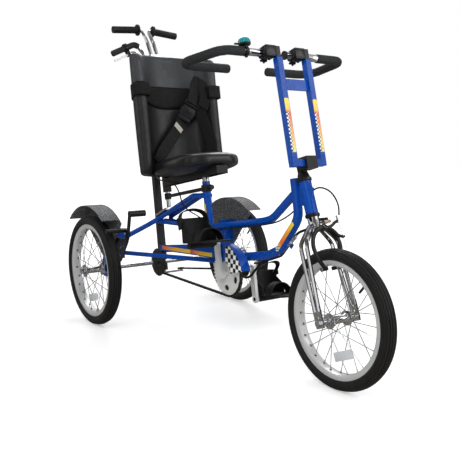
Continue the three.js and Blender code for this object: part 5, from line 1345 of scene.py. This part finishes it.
@dataclass(frozen=True)
class Upholstery:
    """The seat, the wrap-round back, the chest band and the harness."""

    half_width: float = 0.175
    half_depth: float = 0.130
    centre: float = -0.135
    thickness: float = 0.042
    panel_level: float = 0.362
    last_frame: int = 14
    band_low: float = 0.318
    band_high: float = 0.388
    band_tip: float = -0.107
    band_inner: float = -0.0075
    band_outer: float = 0.0025
    band_wall: float = 0.0016
    band_places: int = 24
    band_rows: int = 6
    webbing: float = 0.046
    strap_lift: Vector = Vector((0.012, 0, 0.003))
    patch_size: Triple = (0.040, 0.018, 0.0008)
    patch_lift: float = 0.0017

    def stuffed(self, node: str, name: str, material: Material, cap: float, sink: float, pressure: float,
                rounds: int, cell: float) -> None:
        """Swells a solid into a stuffed, covered form.

        Args:
            node: the solid that it starts from.
            name: the name of the finished piece.
            material: its cover.
            cap: how far a point may move.
            sink: how far the start lies inside the solid.
            pressure: the push of the stuffing.
            rounds: how often the corners are eased.
            cell: the size of the faces that it is cut into.
        """
        made = Bench.emit(Bench.copied(node), name, material, "seat", (node,), 60, "vinyl")
        Bench.even(made, cell)
        for vert in made.data.vertices:
            vert.co = vert.co - vert.normal * sink
        start = [vert.co.copy() for vert in made.data.vertices]
        Bench.modify(made, "stuffing", "CLOTH")
        cloth = made.modifiers["stuffing"].settings
        for key, value in (("use_pressure", True), ("uniform_pressure_force", pressure), ("mass", 0.4),
                           ("tension_stiffness", 60.0), ("compression_stiffness", 60.0),
                           ("bending_stiffness", 12.0)):
            setattr(cloth, key, value)
        cloth.effector_weights.gravity = 0.0
        for frame_number in range(1, self.last_frame + 1):
            bpy.context.scene.frame_set(frame_number)
        Bench.apply(made, "stuffing")
        bpy.context.scene.frame_set(1)
        for vert, first in zip(made.data.vertices, start):
            moved = vert.co - first
            if moved.length > cap:
                vert.co = first + moved.normalized() * cap
        Bench.soften(made, 0.5, rounds)
        Bench.modify(made, "finer_faces", "SUBSURF", True, levels=1, render_levels=1)
        made.data.shade_smooth()

    def cover(self) -> Material:
        """Returns the vinyl of the back, paler in its upper panel than below it."""
        paint = Paint("two_tone_vinyl")
        level = paint.math("GREATER_THAN", paint.along(SEAT_TUBE.foot, SEAT_TUBE.up), self.panel_level)
        cloud = paint.noise(9, 4.0)
        upper = paint.between(cloud, linear("34363a"), linear("3b3d40"))
        lower = paint.between(cloud, linear("191a1c"), linear("202123"))
        paint.look({"Base Color": paint.between(level, lower, upper), "Coat Weight": 0.08,
                    "Roughness": paint.span(paint.noise(40, 3.0), 0.36, 0.5)})
        paint.relief(Surface.LEATHER, 620, 0.2)
        return paint.material

    def wrap(self, share: float, out: float) -> Pair:
        """Returns where the back's curve runs, measured ahead and to the left on its plan.

        Args:
            share: from -1 at the right tip, past the middle, to 1 at the left tip.
            out: how far outside the inner face the point lies.
        """
        angle = share * math.pi / 2
        depth, width = (half - self.thickness + out for half in (self.half_depth, self.half_width))
        return self.centre - depth * math.cos(angle), width * math.sin(angle)

    def band(self) -> None:
        """Makes the broad cloth band round the upper back, over both wings and across behind."""
        shares = [2 * i / self.band_places - 1 for i in range(self.band_places + 1)]
        inner = [(*self.wrap(share, self.band_inner), math.cos(share * math.pi / 2) ** 2) for share in shares]
        outer = [(*self.wrap(-share, self.thickness + self.band_outer), 0.0) for share in shares]
        left = [(self.band_tip + ahead, self.half_width + side, 0.0)
                for ahead, side in ((-0.004, -0.005 - self.thickness), (0.002, -self.thickness / 2), (-0.004, 0.002))]
        right = [(ahead, -side, full) for ahead, side, full in reversed(left)]
        loop = inner + left + outer + right
        shape = bmesh.new()
        rows, widths = [], []
        for ahead, side, full in loop:
            bottom, top = self.band_low + 0.010 - 0.025 * full, self.band_high - 0.012 * (1 - full)
            widths.append(top - bottom)
            rows.append([SEAT_TUBE.at(ahead, side, bottom + (top - bottom) * part / self.band_rows)
                         for part in range(self.band_rows + 1)])
        Bench.woven(shape, rows, closed=True)
        made = Bench.emit(shape, "chest_band", FINISHES.band, "seat", (), 70)
        Bench.modify(made, "cloth_thickness", "SOLIDIFY", thickness=self.band_wall, offset=0.0)
        places = [SEAT_TUBE.at(ahead, side, self.band_low) for ahead, side, _ in loop + loop[:1]]
        length = Bench.length(places)

    def harness(self) -> None:
        """Makes the crossed straps with their buckle, slider and plain patch."""
        main = [point(*place) + self.strap_lift for place in (
            (-2, 117, 899), (-2, 103, 872), (4, 92, 838), (8, 80, 806), (6, 64, 775), (2, 46, 744), (0, 28, 714),
            (2, 4, 682), (8, -26, 648), (18, -50, 622), (30, -72, 600), (33, -84, 588))]
        low = Vector((0.12, 0.66, -0.74))
        across = [Vector(direction) for direction, count in (
            ((0.7, 0.7, -0.55), 2), ((0.42, 0.62, -0.66), 3), (low, 5), ((-0.25, 0.7, -0.66), 2))
            for _ in range(count)]
        Bench.strap("harness_strap", main, across, self.webbing)
        fold = [main[index] + Vector(away) for index, away in (
            (0, (0.002, 0.002, 0.001)), (0, (0.018, 0.010, -0.010)), (1, (0.030, 0.018, -0.018)),
            (2, (0.034, 0.026, -0.020)), (3, (0.030, 0.030, -0.018)))]
        Bench.strap("harness_fold", fold, [Vector((0.72, 0.5, -0.48))] * len(fold), self.webbing)
        second = [point(*place) for place in ((34, 108, 800), (40, 106, 780), (52, 108, 752), (72, 112, 718),
                                              (92, 116, 684), (106, 117, 650), (108, 112, 622))]
        Bench.strap("second_strap", second, [Vector((0.75, 0.5, 0.35))] * len(second), self.webbing)
        self.buckle(main[4], main[5])
        patch = bmesh.new()
        turn = laid(low.normalized(), (main[7] - main[6]).normalized())
        Bench.block(patch, main[6].lerp(main[7], 0.05) + turn @ Vector((0, 0, self.patch_lift)), turn,
                    self.patch_size, 0.0003, 1)
        Bench.emit(patch, "plain_patch", FINISHES.pale, "seat")

    @staticmethod
    def buckle(upper: Vector, lower: Vector) -> None:
        """Makes the side-release buckle and the slider above it, between two points of the strap."""
        along = (lower - upper).normalized()
        side = Vector((0.3, 0.66, -0.69))
        turn = laid((side - along * side.dot(along)).normalized(), along)
        shape = bmesh.new()
        for place, size, bevel, segments in (
                ((0, 0, 0.006), (0.054, 0.042, 0.011), 0.003, 3),
                ((0, 0.027, 0.006), (0.050, 0.016, 0.009), 0.0025, 3),
                ((-0.027, 0.002, 0.006), (0.007, 0.026, 0.008), 0.0025, 3),
                ((0.027, 0.002, 0.006), (0.007, 0.026, 0.008), 0.0025, 3),
                ((0, -0.006, 0.0118), (0.030, 0.018, 0.0012), 0.0005, 2),
                ((0, -0.030, 0.005), (0.056, 0.0045, 0.006), 0.0018, 3),
                ((0, -0.041, 0.005), (0.056, 0.0045, 0.006), 0.0018, 3),
                ((-0.0265, -0.036, 0.005), (0.004, 0.016, 0.006), 0.0015, 2),
                ((0.0265, -0.036, 0.005), (0.004, 0.016, 0.006), 0.0015, 2)):
            Bench.block(shape, upper.lerp(lower, 0.15) + turn @ Vector(place), turn, size, bevel, segments)
        Bench.emit(shape, "harness_buckle", FINISHES.plastic, "seat")

    def build(self) -> None:
        """Makes the cushions, the band and the harness."""
        self.stuffed("seat_cushion", "padded_seat", FINISHES.vinyl.material(), 0.012, 0.0, 3.0, 24, 0.005)
        self.stuffed("back_cushion", "padded_back", self.cover(), 0.008, 0.004, 1.6, 5, 0.006)
        self.band()
        self.harness()


@dataclass(frozen=True)
class Grips:
    """The foam sleeves on the loop bars and the steering bar."""

    cell: float = 0.0026
    nodes: tuple[str, ...] = ("left_foam_grip", "right_foam_grip", "tiller_foam")

    def build(self) -> None:
        """Rounds each sleeve and gives it its foam."""
        for node in self.nodes:
            made = Bench.emit(Bench.copied(node), f"{node}_rounded", FINISHES.foam, Bench.body_of(node), (node,),
                              60, None, False)
            Bench.even(made, self.cell)
            Bench.soften(made, 0.6, 8)
            made.data.shade_smooth()


@dataclass(frozen=True)
class Strip:
    """A flat strip of graded colour and squares: where it lies, and what it shows.

    The squares begin at a share of its length, and take a share of its width from one edge.
    """

    name: str
    body: str
    start: Vector
    end: Vector
    across: Vector
    width: float
    stops: tuple[tuple[float, str], ...]
    squares_from: float
    squares_side: float
    lift: float = 0.00035
    square: float = 0.0055
    corner_share: float = 0.28

    def build(self) -> None:
        """Makes the strip."""
        along = self.end - self.start
        length, width = along.length, self.width
        along.normalize()
        across = (self.across - along * self.across.dot(along)).normalized()
        turn = laid(across, along)
        out = turn @ Vector((0, 0, 1))
        shape = bmesh.new()
        Bench.block(shape, (self.start + self.end) / 2 + out * self.lift, turn, (width, length, self.lift * 2))
        corners = [edge for edge in shape.edges
                   if abs((edge.verts[0].co - edge.verts[1].co).normalized().dot(out)) > 0.9]
        Bench.rounded(shape, corners, width * self.corner_share, 4)
        paint = Paint(f"{self.name}_print")
        down = paint.along(self.start, along / length)
        sway = paint.along(self.start - across * width / 2, across / width)
        rows, columns = (paint.math("FLOOR", paint.math("MULTIPLY", share, size / self.square))
                         for share, size in ((down, length), (sway, width)))
        odd = paint.math("MODULO", paint.math("ADD", rows, paint.math("ADD", columns, 64.0)), 2.0)
        squares = paint.between(odd, linear("f2f2ef"), linear("101112"))
        where = paint.math("MULTIPLY", paint.math("GREATER_THAN", down, self.squares_from),
                           paint.math("LESS_THAN", sway, self.squares_side))
        paint.look({"Base Color": paint.between(where, paint.steps(down, self.stops), squares), "Roughness": 0.3,
                    "Coat Weight": 0.5})
        paint.relief(Surface.ORANGE_PEEL, 260, 0.03)
        Bench.emit(shape, self.name, paint.material, self.body, (), 30, "paint")


def lay_strips() -> None:
    """Lays the plain strips of colour and squares on the painted tubes."""
    warm = ((0.0, "f2dc3c"), (0.2, "eec230"), (0.26, "e2492c"), (0.5, "ef8a34"), (1.0, "f4e062"))
    down = ((0.0, "f2dc3c"), (0.35, "f0a030"), (0.7, "e2702c"), (1.0, "f2dc3c"))
    short = ((0.0, "f2dc3c"), (0.45, "f0b430"), (0.5, "e2702c"), (1.0, "f2dc3c"))
    face, spread, top, foot = 0.0101, 0.054, 0.196, 0.040
    for name, side in (("right", -spread), ("left", spread)):
        Strip(f"{name}_column_strip", "steerer", COLUMNS.at(face, side, top), COLUMNS.at(face, side, foot),
              LEFTWARDS, 0.0165, warm, 0.26, 0.5).build()
    Strip("main_tube_strip", "base", point(737, -14.5, 447), point(664, -14.5, 352), Vector((0.6, 0, -0.5)), 0.015,
          down, 0.82, 1.0).build()
    Strip("seat_tube_strip", "base", point(263, -14.5, 452), point(284, -14.5, 372), Vector((1, 0, 0.2)), 0.010,
          short, 0.5, 1.0).build()


@dataclass(frozen=True)
class Cable:
    """A length of brake cable along places in millimetres from the rear axle.

    The places of its blend are where it leaves the frame and where it joins the body that moves.
    """

    name: str
    body: str
    places: tuple[Triple, ...]
    blend: tuple[Triple, Triple]
    radius: float = 0.0024
    sides: int = 10
    steps: int = 5

    def build(self) -> None:
        """Makes the cable."""
        path = [point(*place) for place in self.places]
        line = Bench.smooth_line(path, self.steps)
        made = Bench.emit(Bench.tube(path, self.radius, self.sides, self.steps), self.name, FINISHES.plastic, None)
        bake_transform(made)
        Bench.length(line)


CABLES = (
    Cable("front_brake_cable", "steerer", (
        (600, -12, 423), (655, -12, 438), (690, -4, 456), (716, 12, 482), (738, 26, 513), (760, 32, 539),
        (787, 38, 553), (812, 50, 547), (829, 60, 528), (838, 67, 503), (841, 68, 477)),
        ((716, 12, 482), (812, 50, 547))),
    Cable("rear_brake_cable", "tiller", (
        (-196, -66, 1004), (-176, -56, 1000), (-172, -36, 965), (-180, -19, 925), (-167, -17, 860),
        (-146, -17, 760), (-126, -17, 660), (-108, -18, 575), (-80, -28, 535), (-20, -40, 518), (50, -42, 515),
        (100, -40, 506), (128, -38, 480), (150, -38, 446), (180, -34, 424), (235, -24, 406), (285, -20, 390),
        (335, -14, 370), (380, -12, 377), (430, -12, 387.5), (480, -12, 398), (520, -12, 406), (560, -12, 414),
        (600, -12, 423)), ((-167, -17, 860), (-176, -56, 1000))),
)


@dataclass(frozen=True)
class Stage:
    """The pale floor, soft lights and camera."""

    place: Vector = Vector((1.2269, -1.2509, 0.7211))
    yaw: float = 144.45
    pitch: float = -9.08
    roll: float = 1.06
    focal_px: float = 643.55
    frame_px: float = 460.0
    sensor: float = 36.0
    middle: Vector = Vector((-0.45, 0.0, 0.0))
    aim: float = 0.4
    floor_size: float = 9.0
    floor_drop: float = 0.0008
    glow: tuple[tuple[str, float], ...] = (("From Min", 1.1), ("From Max", 4.0), ("To Min", 0.42), ("To Max", 0.85))
    cards: tuple[Pair, ...] = ((-118, 0.9), (-78, 0.5), (-12, 0.8), (38, 0.7), (88, 0.8), (150, 0.8))
    card_height: float = 1.5
    card_distance: float = 2.4
    card_rise: float = 0.75
    lamps: tuple[tuple[str, Triple, float, float, bool], ...] = (
        ("key", (1.6, -2.4, 2.8), 2.2, 85, False), ("fill", (2.4, 1.8, 1.8), 2.4, 35, True),
        ("back", (-2.6, 1.6, 2.6), 2.0, 40, True))
    light: float = 0.36
    shade: tuple[float, float, float, float] = (0.13, 0.115, 0.10, 1)
    stripes: tuple[Pair, ...] = ((0.07, 1.0), (0.20, 0.8), (0.33, 1.0), (0.47, 0.75), (0.60, 1.0),
                                                (0.74, 0.8), (0.88, 1.0))
    stripe_step: float = 0.025

    def camera(self) -> None:
        """Makes the camera at the photograph's viewpoint."""
        data = bpy.data.cameras.new("view")
        data.sensor_width = self.sensor
        data.sensor_fit = "HORIZONTAL"
        data.lens = self.focal_px / self.frame_px * self.sensor
        made = bpy.data.objects.new("view", data)
        yaw, pitch, roll = (math.radians(v) for v in (self.yaw, self.pitch, self.roll))
        ahead = Vector((math.cos(pitch) * math.cos(yaw), math.cos(pitch) * math.sin(yaw), math.sin(pitch)))
        right = ahead.cross(Vector((0, 0, 1))).normalized()
        up = right.cross(ahead)
        right, up = (right * math.cos(roll) + up * math.sin(roll), up * math.cos(roll) - right * math.sin(roll))
        made.matrix_world = Matrix.Translation(self.place) @ turned(right, up, -ahead)
        bpy.context.scene.collection.objects.link(made)
        bpy.context.scene.camera = made

    def lamp(self, name: str, place: Sequence[float], size: float, power: float, mirrored: bool) -> None:
        """Makes a soft square lamp that faces the tricycle.

        Args:
            name: its name.
            place: where it stands.
            size: the length of its side.
            power: its power in watts.
            mirrored: whether bright metal shows it.
        """
        data = bpy.data.lights.new(name, "AREA")
        data.size = size
        data.energy = power
        made = bpy.data.objects.new(name, data)
        made.location = place
        towards = self.middle + Vector((0, 0, self.aim)) - Vector(place)
        made.rotation_euler = towards.to_track_quat("-Z", "Y").to_euler()
        made.visible_glossy = mirrored
        bpy.context.scene.collection.objects.link(made)

    def floor(self) -> None:
        """Makes the pale floor, which bright metal mirrors darker."""
        paint = Paint("pale_floor")
        rays = paint.node("ShaderNodeLightPath").outputs
        pale = paint.between(paint.noise(2.0, 3.0), linear("f6f6f6"), linear("f2f2f3"))
        far = paint.node("ShaderNodeVectorMath", {0: paint.mapped(self.middle)}, operation="LENGTH").outputs["Value"]
        glow = paint.node("ShaderNodeMapRange", {"Value": far, **dict(self.glow)}).outputs[0]
        paint.look({"Base Color": paint.between(rays["Is Glossy Ray"], pale, linear("8a847c")), "Roughness": 0.6,
                    "Emission Color": (1, 1, 1, 1),
                    "Emission Strength": paint.math("MULTIPLY", rays["Is Camera Ray"], glow)})
        shape = bmesh.new()
        bmesh.ops.create_grid(shape, x_segments=1, y_segments=1, size=self.floor_size,
                              matrix=Matrix.Translation((0, 0, -self.floor_drop)))
        Bench.make(shape, "floor", paint.material)

    def screens(self) -> None:
        """Stands dark cards round the tricycle, which only its bright metal mirrors."""
        shape = bmesh.new()
        for angle, width in self.cards:
            turn = Matrix.Rotation(math.radians(angle), 4, "Z")
            place = self.middle + turn @ Vector((self.card_distance, 0, self.card_rise))
            Bench.block(shape, place, turn, (0.01, width, self.card_height))
        paint = Paint("dark_card")
        paint.look({"Base Color": linear("2a2620"), "Roughness": 1.0})
        made = Bench.make(shape, "dark_cards", paint.material)
        made.visible_camera = made.visible_diffuse = made.visible_shadow = False

    def world(self) -> None:
        """Makes the even pale light all round, which bright metal mirrors as stripes on a dark ground."""
        world = bpy.data.worlds.new("studio")
        bpy.context.scene.world = world
        world.use_nodes = True
        sky = Nodes(world.node_tree)
        sky.tree.nodes.clear()
        place = sky.node("ShaderNodeTexCoord").outputs["Generated"]
        bands = sky.node("ShaderNodeTexGradient", {"Vector": place}, gradient_type="RADIAL")
        ramp = sky.node("ShaderNodeValToRGB", {"Fac": bands.outputs["Fac"]})
        stops = ramp.color_ramp.elements
        ramp.color_ramp.interpolation = "EASE"
        stops[0].position, stops[0].color = 0.0, self.shade
        stops[1].position, stops[1].color = 1.0, self.shade
        for start, level in self.stripes:
            bright = (level, level, level, 1)
            for index, color in enumerate((self.shade, bright, bright, self.shade)):
                stops.new(start + index * self.stripe_step).color = color
        soft, seen, studio = (
            sky.node("ShaderNodeBackground", {"Color": color, "Strength": strength}).outputs[0]
            for color, strength in (((1, 1, 1, 1), self.light), ((1, 1, 1, 1), 1.0), (ramp.outputs["Color"], 1.0)))
        rays = sky.node("ShaderNodeLightPath").outputs
        mirrored = sky.node("ShaderNodeMixShader", {0: rays["Is Glossy Ray"], 1: soft, 2: studio}).outputs[0]
        mixed = sky.node("ShaderNodeMixShader", {0: rays["Is Camera Ray"], 1: mirrored, 2: seen}).outputs[0]
        sky.node("ShaderNodeOutputWorld", {"Surface": mixed})

    def build(self) -> None:
        """Makes the whole stage."""
        self.camera()
        self.floor()
        self.screens()
        self.world()
        for lamp in self.lamps:
            self.lamp(*lamp)
        bpy.context.scene.view_settings.view_transform = "Standard"


def record_sizes() -> None:
    """Brings the scene's placements up to date."""
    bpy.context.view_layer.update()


def main() -> None:
    """Builds the stage and dresses the tricycle."""
    Stage().build()
    SmoothSolids().dress()
    for name, (body, centre) in WHEELS.items():
        Wheel(name, body, centre).build()
    for part in (Transmission(), Grips(), BarFittings(), RimBrake(), HeadRings(), Footwear(), Reflectors(),
                 Upholstery()):
        part.build()
    lay_strips()
    for cable in CABLES:
        cable.build()
    record_sizes()


if __name__ == "__main__":
    logging.basicConfig(level=logging.INFO)
    main()
